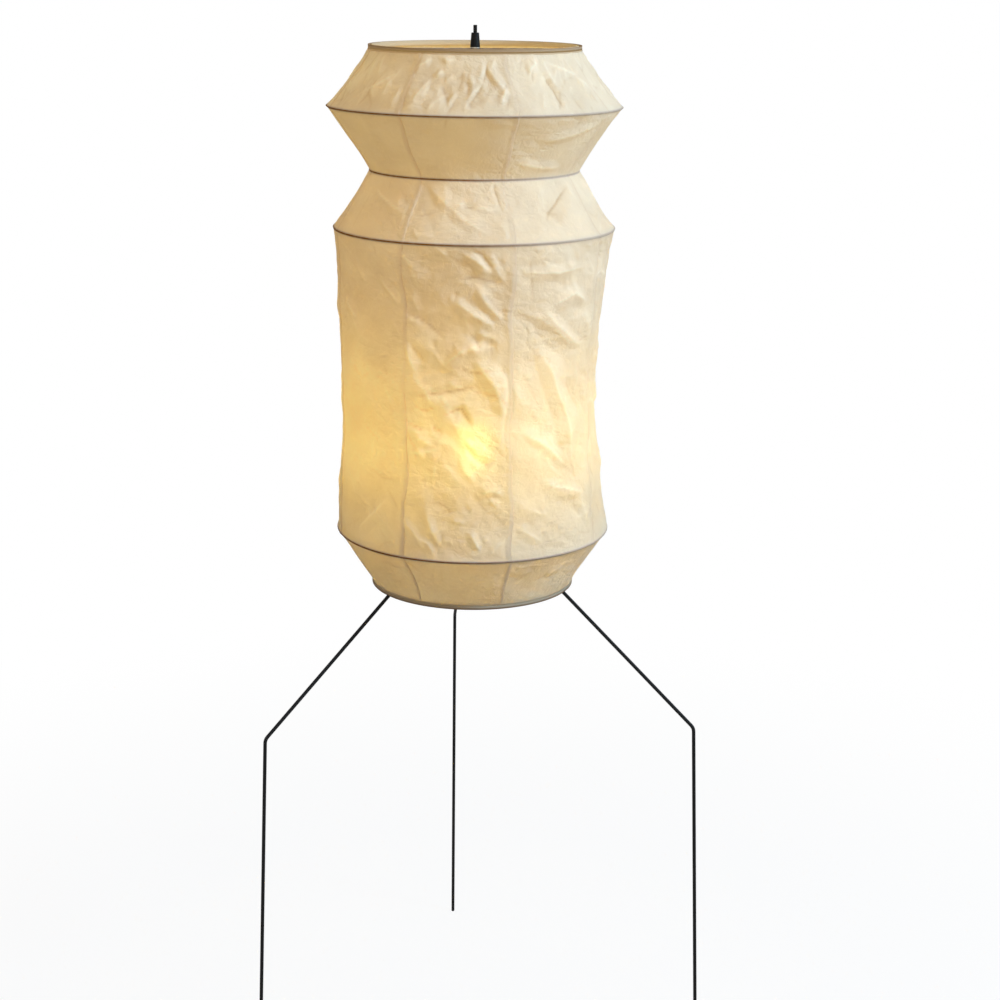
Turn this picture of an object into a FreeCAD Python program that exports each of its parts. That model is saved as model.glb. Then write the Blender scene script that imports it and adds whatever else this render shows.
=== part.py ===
import FreeCAD, Part
import math
import os

Vector = FreeCAD.Vector

# A paper lantern floor lamp: a lantern of eight paper gores over six hoops hangs from
# a wire stretcher, which stands with the bulb holder on a hub. Three bent rods are
# clamped into the hub and pass out under the lantern's bottom ring to the floor.
# Millimetres, +Z up, z = 0 on the floor. Everything is drawn about the lamp's own
# upright axis and moved at the end, so that the origin is at the middle of the floor
# rectangle that the lamp takes up. Azimuths count from the front (-Y) towards +X.

# ---- driving dimensions --------------------------------------------------------

# Lantern, from the top ring down: height and outer radius of the paper at each hoop.
TOP_HEIGHT = 1750.0
UPPER_HEIGHT = 1659.0
WAIST_HEIGHT = 1557.0
SHOULDER_HEIGHT = 1464.0
LOWER_HEIGHT = 954.0
TOP_RADIUS = 171.0
UPPER_RADIUS = 240.0
WAIST_RADIUS = 171.0
SHOULDER_RADIUS = 231.0
LOWER_RADIUS = 230.0
BOTTOM_RADIUS = 171.0
PAPER = 0.6
GORES = 8
FIRST_SEAM = 10.0
SHORT_BAND_SAG = (1.5, 3.5)
LONG_BAND_SAG = (11.0, 17.0)
SHORT_BAND_STEPS = 2
LONG_BAND_STEPS = 6

# The long band also hangs slacker on the lamp's right and tauter on its left: azimuth
# of each place, and what is added to the sag there.
SLACK_PLACES = ((82.0, 9.0), (-88.0, -4.0))
SLACK_SPREAD = 34.0

# Hoops: split bamboo in the middle, flat steel rings at both ends.
BAMBOO_HEIGHT = 3.2
BAMBOO_WIDTH = 2.6
RING_HEIGHT = 3.0
RING_WIDTH = 2.2
HOOP_GAP = 0.3
CROSS_WIRE = 3.0
EYE_WALL = 2.6

# Legs: round rod, one knee each.
LEG_AZIMUTHS = {"left": -60.0, "right": 60.0, "rear": 180.0}
ROD = 6.0
FOOT_RADIUS = 438.0
KNEE_RADIUS = 411.0
KNEE_HEIGHT = 651.0
LEG_TOP_RADIUS = 22.0
LEG_TOP_HEIGHT = 981.0
KNEE_BEND = 14.0
FOOT_ROUNDING = 1.8

# Hub with a sleeve and a thumbscrew for each leg.
HUB_RADIUS = 21.0
HUB_BOTTOM = 963.0
HUB_TOP = 1001.5
HUB_CHAMFER = 2.0
SLEEVE_RADIUS = 5.5
SLEEVE_START = 12.0
SLEEVE_END = 46.0
LEG_SEAT = 15.0
SCREW_PLACE = 37.0
SCREW_RADIUS = 2.0
SCREW_CLEARANCE = 0.05
SCREW_TIP_GAP = 0.1
BOSS_RADIUS = 4.5
BOSS_TOP = 8.5
SCREW_HEAD_RADIUS = 6.5
SCREW_HEAD_BOTTOM = 9.0
SCREW_HEAD_TOP = 16.0
SCREW_GRIPS = 8
GRIP_RADIUS = 1.3

# Hollow threaded stem through the hub, its nut, and the bush that a cord would enter.
STEM_RADIUS = 5.0
STEM_BORE = 3.6
STEM_BOTTOM = 947.0
STEM_TOP = 1012.0
WASHER_RADIUS = 9.0
WASHER_THICKNESS = 1.2
LOCK_NUT_FLATS = 14.0
LOCK_NUT_HEIGHT = 5.0
BUSH_BOTTOM = 937.0
BUSH_TOP = 953.0
BUSH_RADIUS = 7.5
BUSH_BORE = 3.4
BUSH_ROUNDING = 1.0

# Saddle and stretcher that carry the lantern over the bulb.
SADDLE_THICKNESS = 2.0
SADDLE_WIDTH = 14.0
STRETCHER_WIRE = 4.0
STRETCHER_REACH = 46.0
STRETCHER_SHOULDER = 1140.0
STRETCHER_NECK = 1690.0
STRETCHER_BEND = 60.0
SOCKET_RADIUS = 3.6
SOCKET_HEIGHT = 20.0
SOCKET_FLOOR = 2.0
HEAD_RADIUS = 7.0
HEAD_LENGTH = 32.0
HEAD_CHAMFER = 1.2
HEAD_WIRE_OFFSET = 3.4
HEAD_WIRE_DEPTH = 16.0
STUD_RADIUS = 3.0
STUD_CHAMFER = 0.6
STUD_SHOWING = 12.0
EYE_CLEARANCE = 0.4
SEAT_GAP = 0.1
TOP_WASHER_RADIUS = 8.0
TOP_WASHER_THICKNESS = 1.2
NUT_BASE_RADIUS = 8.0
NUT_TOP_RADIUS = 6.3
NUT_HEIGHT = 23.0
NUT_ROUNDING = 0.8
NUT_CLEARANCE = 0.05

# Bulb holder for a medium screw base, standing on the saddle. Its cup is rounded: the
# foot, a point on the curve and its end are given as a radius and a height over the saddle.
HOLDER_RADIUS = 19.5
HOLDER_WALL = 2.2
HOLDER_BASE_HEIGHT = 18.5
CUP_FOOT = (13.0, 0.0)
CUP_CURVE = (17.6, 3.1)
CUP_CURVE_END = (19.5, 8.5)
CUP_FLOOR = (12.0, 2.6)
CUP_INNER_CURVE = (15.7, 4.9)
CUP_INNER_CURVE_END = (17.3, 9.0)
HOLDER_RIM = 1046.0
HOLDER_MOUTH = 15.0
RIM_ROUNDING = 2.0
CORE_THICKNESS = 6.0
WIRE_PASSAGE_RADIUS = 1.6
WIRE_PASSAGE_PLACE = 9.0
SHELL_RADIUS = 14.2
SHELL_WALL = 0.7
SHELL_FLOOR = 0.8
SHELL_FLOOR_HOLE = 8.0
TONGUE_WIDTH = 5.0
TONGUE_THICKNESS = 0.6
TONGUE_FOOT = -6.0
TONGUE_END = 5.5
TONGUE_RISE = 1.8

# Bulb: screw cap, tip, glass and the lighted board inside.
CAP_RADIUS = 13.1
CAP_BOTTOM = 1027.0
CAP_TOP = 1047.0
CAP_CHAMFER = 1.2
TIP_RADIUS = 4.5
TIP_BOTTOM = 1025.0
GLOBE_RADIUS = 30.0
GLOBE_CENTRE = 1098.0
GLASS = 1.0
NECK_RADIUS = 14.0
NECK_TOP = 1059.0
NECK_JOINT = 38.0
NECK_HOLLOW = (-1.6, 1.2)
BOARD_RADIUS = 12.0
BOARD_THICKNESS = 1.6
POST_RADIUS = 5.0

# ---- worked out from them --------------------------------------------------------

SADDLE_TOP = HUB_TOP + SADDLE_THICKNESS
LEG_SLOPE = math.atan2(LEG_TOP_HEIGHT - KNEE_HEIGHT, KNEE_RADIUS - LEG_TOP_RADIUS)


def leg_height(radius):
    """Height of a leg's centre line at a distance from the lamp's axis, above the knee."""
    return LEG_TOP_HEIGHT - (radius - LEG_TOP_RADIUS) * math.tan(LEG_SLOPE)


# The bottom ring lies on the three legs, and the paper ends at its lower edge.
BOTTOM_RING_RADIUS = BOTTOM_RADIUS - PAPER - HOOP_GAP
RING_ON_ROD = (ROD / 2 + HOOP_GAP) / math.cos(LEG_SLOPE)
BOTTOM_HEIGHT = leg_height(BOTTOM_RING_RADIUS - RING_WIDTH) + RING_ON_ROD

# The top ring carries the cross wire, whose eye sits on the stretcher's head.
TOP_RING_RADIUS = TOP_RADIUS - PAPER - HOOP_GAP
HEAD_TOP = TOP_HEIGHT - RING_HEIGHT - SEAT_GAP
NUT_BOTTOM = TOP_HEIGHT + TOP_WASHER_THICKNESS + NUT_CLEARANCE
STUD_TOP = NUT_BOTTOM + NUT_HEIGHT + STUD_SHOWING

# Heights and paper radii of the hoops, and the sag of the band below each one: how far
# it draws in half way down, at a seam and in the middle of a gore.
HOOPS = (
    (TOP_HEIGHT, TOP_RADIUS, SHORT_BAND_SAG, SHORT_BAND_STEPS),
    (UPPER_HEIGHT, UPPER_RADIUS, SHORT_BAND_SAG, SHORT_BAND_STEPS),
    (WAIST_HEIGHT, WAIST_RADIUS, SHORT_BAND_SAG, SHORT_BAND_STEPS),
    (SHOULDER_HEIGHT, SHOULDER_RADIUS, LONG_BAND_SAG, LONG_BAND_STEPS),
    (LOWER_HEIGHT, LOWER_RADIUS, SHORT_BAND_SAG, SHORT_BAND_STEPS),
    (BOTTOM_HEIGHT, BOTTOM_RADIUS, None, None),
)

# The floor rectangle reaches from the widest paper in front to the rear foot, and the
# origin is at its middle.
REAR_REACH = FOOT_RADIUS + ROD / 2
AXIS_Y = (UPPER_RADIUS - REAR_REACH) / 2


# ---- tools -----------------------------------------------------------------------


def around(azimuth, radius, height):
    """The point at an azimuth, a radius and a height about the lamp's axis."""
    turn = math.radians(azimuth)
    return Vector(radius * math.sin(turn), -radius * math.cos(turn), height)


def face_azimuth(shape, azimuth):
    """A shape drawn along +X, turned about the axis to an azimuth."""
    return shape.rotated(Vector(0, 0, 0), Vector(0, 0, 1), azimuth - 90.0)


def tube(outer, inner, bottom, top):
    """A round tube, or a washer, about the axis."""
    solid = Part.makeCylinder(outer, top - bottom, Vector(0, 0, bottom))
    hole = Part.makeCylinder(inner, top - bottom, Vector(0, 0, bottom))
    return solid.cut(hole)


def turned(outline):
    """A solid turned about the axis from (radius, height) points and ready-made edges."""
    edges = []
    last = None
    for item in outline:
        if isinstance(item, tuple):
            point = Vector(item[0], 0, item[1])
            if last is not None and (point - last).Length > 1e-6:
                edges.append(Part.LineSegment(last, point).toShape())
            last = point
        else:
            edges.append(item)
            last = item.Vertexes[-1].Point
    first = Vector(outline[0][0], 0, outline[0][1])
    if (first - last).Length > 1e-6:
        edges.append(Part.LineSegment(last, first).toShape())
    face = Part.Face(Part.Wire(edges))
    return face.revolve(Vector(0, 0, 0), Vector(0, 0, 1), 360)


def arc(start, middle, end):
    """An arc through three (radius, height) points, for an outline."""
    points = [Vector(r, 0, z) for r, z in (start, middle, end)]
    return Part.Arc(*points).toShape()


def bent_rod(points, bend, diameter):
    """A round rod along straight runs, with a tangent arc of one radius at each corner."""
    edges = []
    start = points[0]
    for before, corner, after in zip(points, points[1:], points[2:]):
        into = (corner - before).normalize()
        out = (after - corner).normalize()
        half_turn = into.getAngle(out) / 2
        setback = bend * math.tan(half_turn)
        inward = (out - into).normalize()
        centre = corner + inward * (bend / math.cos(half_turn))
        arc_start = corner - into * setback
        arc_end = corner + out * setback
        edges.append(Part.LineSegment(start, arc_start).toShape())
        edges.append(Part.Arc(arc_start, centre - inward * bend, arc_end).toShape())
        start = arc_end
    edges.append(Part.LineSegment(start, points[-1]).toShape())
    section = Part.makeCircle(diameter / 2, points[0], points[1] - points[0])
    return Part.Wire(edges).makePipeShell([Part.Wire([section])], True, False)


# ---- lantern ---------------------------------------------------------------------


def slack(azimuth):
    """What is added to the long band's sag at an azimuth."""
    added = 0.0
    for place, sag in SLACK_PLACES:
        off = (azimuth - place + 180) % 360 - 180
        added += sag * math.exp(-((off / SLACK_SPREAD) ** 2))
    return added


def paper_levels():
    """Down the lantern: height, radius of a straight strip, and its sags there.

    Over a hoop the paper is round. Between hoops it draws in, and more in the middle of
    a gore than at its glued seams, so each strip flattens there. The last value is the
    share of the slack that the level takes.
    """
    levels = []
    for upper, lower in zip(HOOPS, HOOPS[1:]):
        height, radius, (seam_sag, middle_sag), steps = upper
        for step in range(steps):
            share = step / steps
            straight = radius + (lower[1] - radius) * share
            bow = 4 * share * (1 - share)
            level = height + (lower[0] - height) * share
            loose = bow if height == SHOULDER_HEIGHT else 0.0
            levels.append((level, straight, seam_sag * bow, middle_sag * bow, loose))
    height, radius = HOOPS[-1][:2]
    levels.append((height, radius, 0.0, 0.0, 0.0))
    return levels


def gore_section(azimuth, level):
    """A gore cut level: an outer arc and an inner one between two seams."""
    height, straight, seam_sag, middle_sag, loose = level
    step = 360.0 / GORES
    outer = []
    inner = []
    for turn, sag in ((0.0, seam_sag), (step / 2, middle_sag), (step, seam_sag)):
        radius = straight - sag - loose * slack(azimuth + turn)
        outer.append(around(azimuth + turn, radius, height))
        inner.insert(0, around(azimuth + turn, radius - PAPER, height))
    return Part.Wire(
        [
            Part.Arc(*outer).toShape(),
            Part.LineSegment(outer[2], inner[0]).toShape(),
            Part.Arc(*inner).toShape(),
            Part.LineSegment(inner[2], outer[0]).toShape(),
        ]
    )


def gore(number):
    """One paper strip from the top ring to the bottom ring."""
    azimuth = FIRST_SEAM + number * 360.0 / GORES
    sections = [gore_section(azimuth, level) for level in paper_levels()]
    return Part.makeLoft(sections, True, True)


def inner_paper_radius(height):
    """Least inner radius of the paper at a height."""
    most_slack = max(sag for place, sag in SLACK_PLACES)
    levels = paper_levels()
    for upper, lower in zip(levels, levels[1:]):
        if lower[0] <= height <= upper[0]:
            share = (upper[0] - height) / (upper[0] - lower[0])
            least = [
                straight - max(seam_sag, middle_sag) - loose * most_slack - PAPER
                for _, straight, seam_sag, middle_sag, loose in (upper, lower)
            ]
            return least[0] + (least[1] - least[0]) * share
    raise ValueError("the height is outside the lantern")


def bamboo_hoop(height):
    """A split bamboo hoop, just inside the paper at its height."""
    half = BAMBOO_HEIGHT / 2
    room = min(inner_paper_radius(height + offset) for offset in (-half, 0, half))
    outer = room - HOOP_GAP
    return tube(outer, outer - BAMBOO_WIDTH, height - half, height + half)


def steel_ring(outer, bottom):
    """A flat steel ring at one end of the lantern."""
    return tube(outer, outer - RING_WIDTH, bottom, bottom + RING_HEIGHT)


def top_ring():
    """The ring that the cross wire is brazed into."""
    return steel_ring(TOP_RING_RADIUS, TOP_HEIGHT - RING_HEIGHT)


def bottom_ring():
    """The ring that lies on the three legs."""
    return steel_ring(BOTTOM_RING_RADIUS, BOTTOM_HEIGHT)


def top_cross_wire():
    """The wire across the top ring, with the eye in its middle that drops over the stud."""
    underside = Vector(0, 0, TOP_HEIGHT - RING_HEIGHT)
    middle = Vector(0, 0, TOP_HEIGHT - RING_HEIGHT / 2)
    bore = STUD_RADIUS + EYE_CLEARANCE
    cross = Part.makeCylinder(bore + EYE_WALL, RING_HEIGHT, underside)
    for side in (-1, 1):
        run = Part.makeCylinder(CROSS_WIRE / 2, TOP_RING_RADIUS, middle, Vector(side, 0, 0))
        cross = cross.fuse(run)
    hole = Part.makeCylinder(bore, RING_HEIGHT, underside)
    outside = tube(2 * TOP_RING_RADIUS, TOP_RING_RADIUS - RING_WIDTH, HEAD_TOP, NUT_BOTTOM)
    return cross.cut(hole).cut(outside).removeSplitter()


# ---- legs and hub ----------------------------------------------------------------


def leg(azimuth):
    """A bent rod from its seat in the hub, over the knee, to a foot cut level and rounded."""
    lean = (FOOT_RADIUS - KNEE_RADIUS) / KNEE_HEIGHT
    below = -2 * ROD
    points = [
        Vector(LEG_SEAT, 0, leg_height(LEG_SEAT)),
        Vector(KNEE_RADIUS, 0, KNEE_HEIGHT),
        Vector(FOOT_RADIUS - lean * below, 0, below),
    ]
    rod = bent_rod(points, KNEE_BEND, ROD)
    block = 4 * ROD
    floor = Part.makeBox(block, block, block, Vector(FOOT_RADIUS - block / 2, -block / 2, -block))
    rod = rod.cut(floor)
    foot = [edge for edge in rod.Edges if edge.BoundBox.ZMax < 1e-3]
    return face_azimuth(rod.makeFillet(FOOT_ROUNDING, foot), azimuth)


def sleeve_axis(radius):
    """A point on a leg's centre line and the way that the leg runs out, drawn along +X."""
    out = Vector(math.cos(LEG_SLOPE), 0, -math.sin(LEG_SLOPE))
    return Vector(radius, 0, leg_height(radius)), out


def screw_axis():
    """Where a thumbscrew's axis meets the leg's, and the way that the screw stands out."""
    point = sleeve_axis(SCREW_PLACE)[0]
    return point, Vector(math.sin(LEG_SLOPE), 0, math.cos(LEG_SLOPE))


def hub():
    """A turned hub with three slanted sleeves, bored for the legs, their screws and the stem."""
    body = turned(
        [
            (STEM_RADIUS, HUB_BOTTOM),
            (HUB_RADIUS - HUB_CHAMFER, HUB_BOTTOM),
            (HUB_RADIUS, HUB_BOTTOM + HUB_CHAMFER),
            (HUB_RADIUS, HUB_TOP - HUB_CHAMFER),
            (HUB_RADIUS - HUB_CHAMFER, HUB_TOP),
            (STEM_RADIUS, HUB_TOP),
        ]
    )
    start, out = sleeve_axis(SLEEVE_START)
    length = (SLEEVE_END - SLEEVE_START) / math.cos(LEG_SLOPE)
    seat = sleeve_axis(LEG_SEAT)[0]
    place, stand = screw_axis()
    for azimuth in LEG_AZIMUTHS.values():
        sleeve = Part.makeCylinder(SLEEVE_RADIUS, length, start, out)
        boss = Part.makeCylinder(BOSS_RADIUS, BOSS_TOP, place, stand)
        body = body.fuse(face_azimuth(sleeve.fuse(boss), azimuth))
    for azimuth in LEG_AZIMUTHS.values():
        leg_bore = Part.makeCylinder(ROD / 2, 2 * length, seat, out)
        screw_hole = Part.makeCylinder(SCREW_RADIUS + SCREW_CLEARANCE, 2 * BOSS_TOP, place, stand)
        body = body.cut(face_azimuth(leg_bore.fuse(screw_hole), azimuth))
    return body.removeSplitter()


def thumbscrew(azimuth):
    """A screw with a scalloped grip, standing on the upper side of a sleeve."""
    place, stand = screw_axis()
    tip = ROD / 2 + SCREW_TIP_GAP
    height = SCREW_HEAD_TOP - SCREW_HEAD_BOTTOM
    shank = Part.makeCylinder(SCREW_RADIUS, SCREW_HEAD_BOTTOM - tip, Vector(0, 0, tip))
    head = Part.makeCylinder(SCREW_HEAD_RADIUS, height, Vector(0, 0, SCREW_HEAD_BOTTOM))
    for grip in range(SCREW_GRIPS):
        rim = around(360.0 * grip / SCREW_GRIPS, SCREW_HEAD_RADIUS, SCREW_HEAD_BOTTOM)
        head = head.cut(Part.makeCylinder(GRIP_RADIUS, height, rim))
    screw = shank.fuse(head).removeSplitter()
    lean = 90.0 - math.degrees(math.atan2(stand.z, stand.x))
    screw = screw.rotated(Vector(0, 0, 0), Vector(0, 1, 0), lean).translated(place)
    return face_azimuth(screw, azimuth)


# ---- stem, saddle and stretcher --------------------------------------------------


def stem():
    """The hollow threaded stem that holds the bulb holder, the saddle and the hub together."""
    return tube(STEM_RADIUS, STEM_BORE, STEM_BOTTOM, STEM_TOP)


def lock_washer():
    """The washer between the hub and the lock nut."""
    return tube(WASHER_RADIUS, STEM_RADIUS, HUB_BOTTOM - WASHER_THICKNESS, HUB_BOTTOM)


def lock_nut():
    """The hexagon nut that draws the stem down against the hub."""
    top = HUB_BOTTOM - WASHER_THICKNESS
    bottom = top - LOCK_NUT_HEIGHT
    corner = LOCK_NUT_FLATS / math.sqrt(3)
    points = [around(60.0 * side, corner, bottom) for side in range(7)]
    body = Part.Face(Part.makePolygon(points)).extrude(Vector(0, 0, LOCK_NUT_HEIGHT))
    return body.cut(Part.makeCylinder(STEM_RADIUS, LOCK_NUT_HEIGHT, Vector(0, 0, bottom)))


def inlet_bush():
    """The plastic bush on the stem's lower end, with a rounded mouth for a cord."""
    return turned(
        [
            (BUSH_BORE, BUSH_BOTTOM),
            (BUSH_RADIUS - BUSH_ROUNDING, BUSH_BOTTOM),
            (BUSH_RADIUS, BUSH_BOTTOM + BUSH_ROUNDING),
            (BUSH_RADIUS, BUSH_TOP),
            (STEM_RADIUS, BUSH_TOP),
            (STEM_RADIUS, STEM_BOTTOM),
            (BUSH_BORE, STEM_BOTTOM),
        ]
    )


def saddle():
    """The strip under the bulb holder, with a socket at each end for the stretcher."""
    reach = STRETCHER_REACH
    corner = Vector(-reach, -SADDLE_WIDTH / 2, HUB_TOP)
    strip = Part.makeBox(2 * reach, SADDLE_WIDTH, SADDLE_THICKNESS, corner)
    for side in (-1, 1):
        foot = Vector(side * reach, 0, HUB_TOP)
        strip = strip.fuse(Part.makeCylinder(SADDLE_WIDTH / 2, SADDLE_THICKNESS, foot))
        strip = strip.fuse(Part.makeCylinder(SOCKET_RADIUS, SOCKET_HEIGHT, foot))
    for side in (-1, 1):
        floor = Vector(side * reach, 0, HUB_TOP + SOCKET_FLOOR)
        strip = strip.cut(Part.makeCylinder(STRETCHER_WIRE / 2, SOCKET_HEIGHT, floor))
    hole = Part.makeCylinder(STEM_RADIUS, 2 * SADDLE_THICKNESS, Vector(0, 0, HUB_TOP - 1))
    return strip.cut(hole).removeSplitter()


def stretcher_wire(side):
    """One of the two wires that stand in the saddle, clear the bulb and lean in to the head."""
    points = [
        Vector(side * STRETCHER_REACH, 0, HUB_TOP + SOCKET_FLOOR),
        Vector(side * STRETCHER_REACH, 0, STRETCHER_SHOULDER),
        Vector(side * HEAD_WIRE_OFFSET, 0, STRETCHER_NECK),
        Vector(side * HEAD_WIRE_OFFSET, 0, HEAD_TOP - HEAD_LENGTH + HEAD_WIRE_DEPTH),
    ]
    return bent_rod(points, STRETCHER_BEND, STRETCHER_WIRE)


def stretcher_head():
    """The turned head on the stretcher: a shoulder for the lantern's eye, and a stud."""
    bottom = HEAD_TOP - HEAD_LENGTH
    head = turned(
        [
            (0, bottom),
            (HEAD_RADIUS - HEAD_CHAMFER, bottom),
            (HEAD_RADIUS, bottom + HEAD_CHAMFER),
            (HEAD_RADIUS, HEAD_TOP - HEAD_CHAMFER),
            (HEAD_RADIUS - HEAD_CHAMFER, HEAD_TOP),
            (STUD_RADIUS, HEAD_TOP),
            (STUD_RADIUS, STUD_TOP - STUD_CHAMFER),
            (STUD_RADIUS - STUD_CHAMFER, STUD_TOP),
            (0, STUD_TOP),
        ]
    )
    for side in (-1, 1):
        mouth = Vector(side * HEAD_WIRE_OFFSET, 0, bottom)
        head = head.cut(Part.makeCylinder(STRETCHER_WIRE / 2, HEAD_WIRE_DEPTH, mouth))
    return head


def top_nut():
    """The tapered nut that holds the lantern down, with the stud's end showing above it."""
    bore = STUD_RADIUS + NUT_CLEARANCE
    top = NUT_BOTTOM + NUT_HEIGHT
    return turned(
        [
            (bore, NUT_BOTTOM),
            (NUT_BASE_RADIUS - NUT_ROUNDING / 2, NUT_BOTTOM),
            (NUT_BASE_RADIUS, NUT_BOTTOM + NUT_ROUNDING / 2),
            (NUT_TOP_RADIUS, top - NUT_ROUNDING),
            (NUT_TOP_RADIUS - NUT_ROUNDING, top),
            (bore, top),
        ]
    )


def top_washer():
    """The washer between the lantern's eye and the top nut."""
    top = TOP_HEIGHT + TOP_WASHER_THICKNESS
    return tube(TOP_WASHER_RADIUS, STUD_RADIUS + EYE_CLEARANCE, TOP_HEIGHT, top)


# ---- bulb holder and bulb --------------------------------------------------------

CORE_TOP = SADDLE_TOP + HOLDER_BASE_HEIGHT
CORE_BOTTOM = CORE_TOP - CORE_THICKNESS


def over_saddle(place):
    """A (radius, height over the saddle) place as a (radius, height) one."""
    return place[0], SADDLE_TOP + place[1]


def holder_base():
    """The holder's lower cup, which screws onto the stem and hides the wiring."""
    foot, curve, curve_end = [over_saddle(p) for p in (CUP_FOOT, CUP_CURVE, CUP_CURVE_END)]
    floor, inner_curve, inner_end = [
        over_saddle(p) for p in (CUP_FLOOR, CUP_INNER_CURVE, CUP_INNER_CURVE_END)
    ]
    return turned(
        [
            (STEM_RADIUS, SADDLE_TOP),
            foot,
            arc(foot, curve, curve_end),
            (HOLDER_RADIUS, CORE_TOP),
            (HOLDER_RADIUS - HOLDER_WALL, CORE_TOP),
            inner_end,
            arc(inner_end, inner_curve, floor),
            (STEM_RADIUS, floor[1]),
        ]
    )


def holder_shell():
    """The holder's upper shell, with a lip round the bulb's cap."""
    inner = HOLDER_RADIUS - HOLDER_WALL
    under_lip = HOLDER_RIM - RIM_ROUNDING
    cut_corner = RIM_ROUNDING * (1 - math.sqrt(0.5))
    rounding = arc(
        (HOLDER_RADIUS, under_lip),
        (HOLDER_RADIUS - cut_corner, HOLDER_RIM - cut_corner),
        (HOLDER_RADIUS - RIM_ROUNDING, HOLDER_RIM),
    )
    return turned(
        [
            (HOLDER_RADIUS, CORE_TOP),
            (HOLDER_RADIUS, under_lip),
            rounding,
            (HOLDER_MOUTH, HOLDER_RIM),
            (HOLDER_MOUTH, under_lip),
            (inner, under_lip),
            (inner, CORE_TOP),
        ]
    )


def holder_core():
    """The ceramic disc inside the holder that carries both contacts."""
    radius = HOLDER_RADIUS - HOLDER_WALL
    core = Part.makeCylinder(radius, CORE_THICKNESS, Vector(0, 0, CORE_BOTTOM))
    for side in (-1, 1):
        passage = Vector(side * WIRE_PASSAGE_PLACE, 0, CORE_BOTTOM)
        core = core.cut(Part.makeCylinder(WIRE_PASSAGE_RADIUS, CORE_THICKNESS, passage))
    return core


def screw_shell():
    """The brass cup that the bulb screws into."""
    rim = HOLDER_RIM - RIM_ROUNDING
    return turned(
        [
            (SHELL_FLOOR_HOLE, CORE_TOP),
            (SHELL_RADIUS, CORE_TOP),
            (SHELL_RADIUS, rim),
            (SHELL_RADIUS - SHELL_WALL, rim),
            (SHELL_RADIUS - SHELL_WALL, CORE_TOP + SHELL_FLOOR),
            (SHELL_FLOOR_HOLE, CORE_TOP + SHELL_FLOOR),
        ]
    )


def centre_contact():
    """The springy brass tongue under the bulb's tip: a flat foot and a rising end."""
    corner = Vector(0, -TONGUE_WIDTH / 2, CORE_TOP)
    thick = Vector(0, 0, TONGUE_THICKNESS)
    foot = corner + Vector(TONGUE_FOOT, 0, 0)
    end = corner + Vector(TONGUE_END, 0, TONGUE_RISE)
    outline = Part.makePolygon([foot, corner, end, end + thick, corner + thick, foot + thick, foot])
    return Part.Face(outline).extrude(Vector(0, TONGUE_WIDTH, 0))


def bulb_cap():
    """The bulb's screw cap at the outer size of its thread."""
    return turned(
        [
            (0, CAP_BOTTOM),
            (CAP_RADIUS - CAP_CHAMFER, CAP_BOTTOM),
            (CAP_RADIUS, CAP_BOTTOM + CAP_CHAMFER),
            (CAP_RADIUS, CAP_TOP),
            (0, CAP_TOP),
        ]
    )


def bulb_tip():
    """The contact under the bulb, in its glass insulator."""
    return turned(
        [
            (0, TIP_BOTTOM),
            (TIP_RADIUS, TIP_BOTTOM),
            (CAP_RADIUS - 2 * CAP_CHAMFER, CAP_BOTTOM),
            (0, CAP_BOTTOM),
        ]
    )


def globe_outline(inset):
    """Half of the glass from the neck to the top, moved in by the wall's thickness."""
    radius = GLOBE_RADIUS - inset
    below = math.radians(NECK_JOINT)
    joint = (radius * math.cos(below), GLOBE_CENTRE - radius * math.sin(below))
    neck = (NECK_RADIUS - inset, NECK_TOP)
    hollow = tuple((a + b) / 2 + off for a, b, off in zip(neck, joint, NECK_HOLLOW))
    return neck, hollow, joint, radius


def bulb_glass():
    """The frosted glass, open at the neck where the cap closes it."""
    outer_neck, outer_hollow, outer_joint, outer = globe_outline(0.0)
    inner_neck, inner_hollow, inner_joint, inner = globe_outline(GLASS)
    outline = [
        (NECK_RADIUS - GLASS, CAP_TOP),
        (CAP_RADIUS, CAP_TOP),
        outer_neck,
        arc(outer_neck, outer_hollow, outer_joint),
        arc(outer_joint, (outer, GLOBE_CENTRE), (0, GLOBE_CENTRE + outer)),
        (0, GLOBE_CENTRE + inner),
        arc((0, GLOBE_CENTRE + inner), (inner, GLOBE_CENTRE), inner_joint),
        arc(inner_joint, inner_hollow, inner_neck),
    ]
    return turned(outline)


def light_board():
    """The board of small lights on its post inside the glass."""
    post = Part.makeCylinder(POST_RADIUS, GLOBE_CENTRE - CAP_TOP, Vector(0, 0, CAP_TOP))
    board = Part.makeCylinder(BOARD_RADIUS, BOARD_THICKNESS, Vector(0, 0, GLOBE_CENTRE))
    return post.fuse(board)


# ---- all nodes -------------------------------------------------------------------


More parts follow.
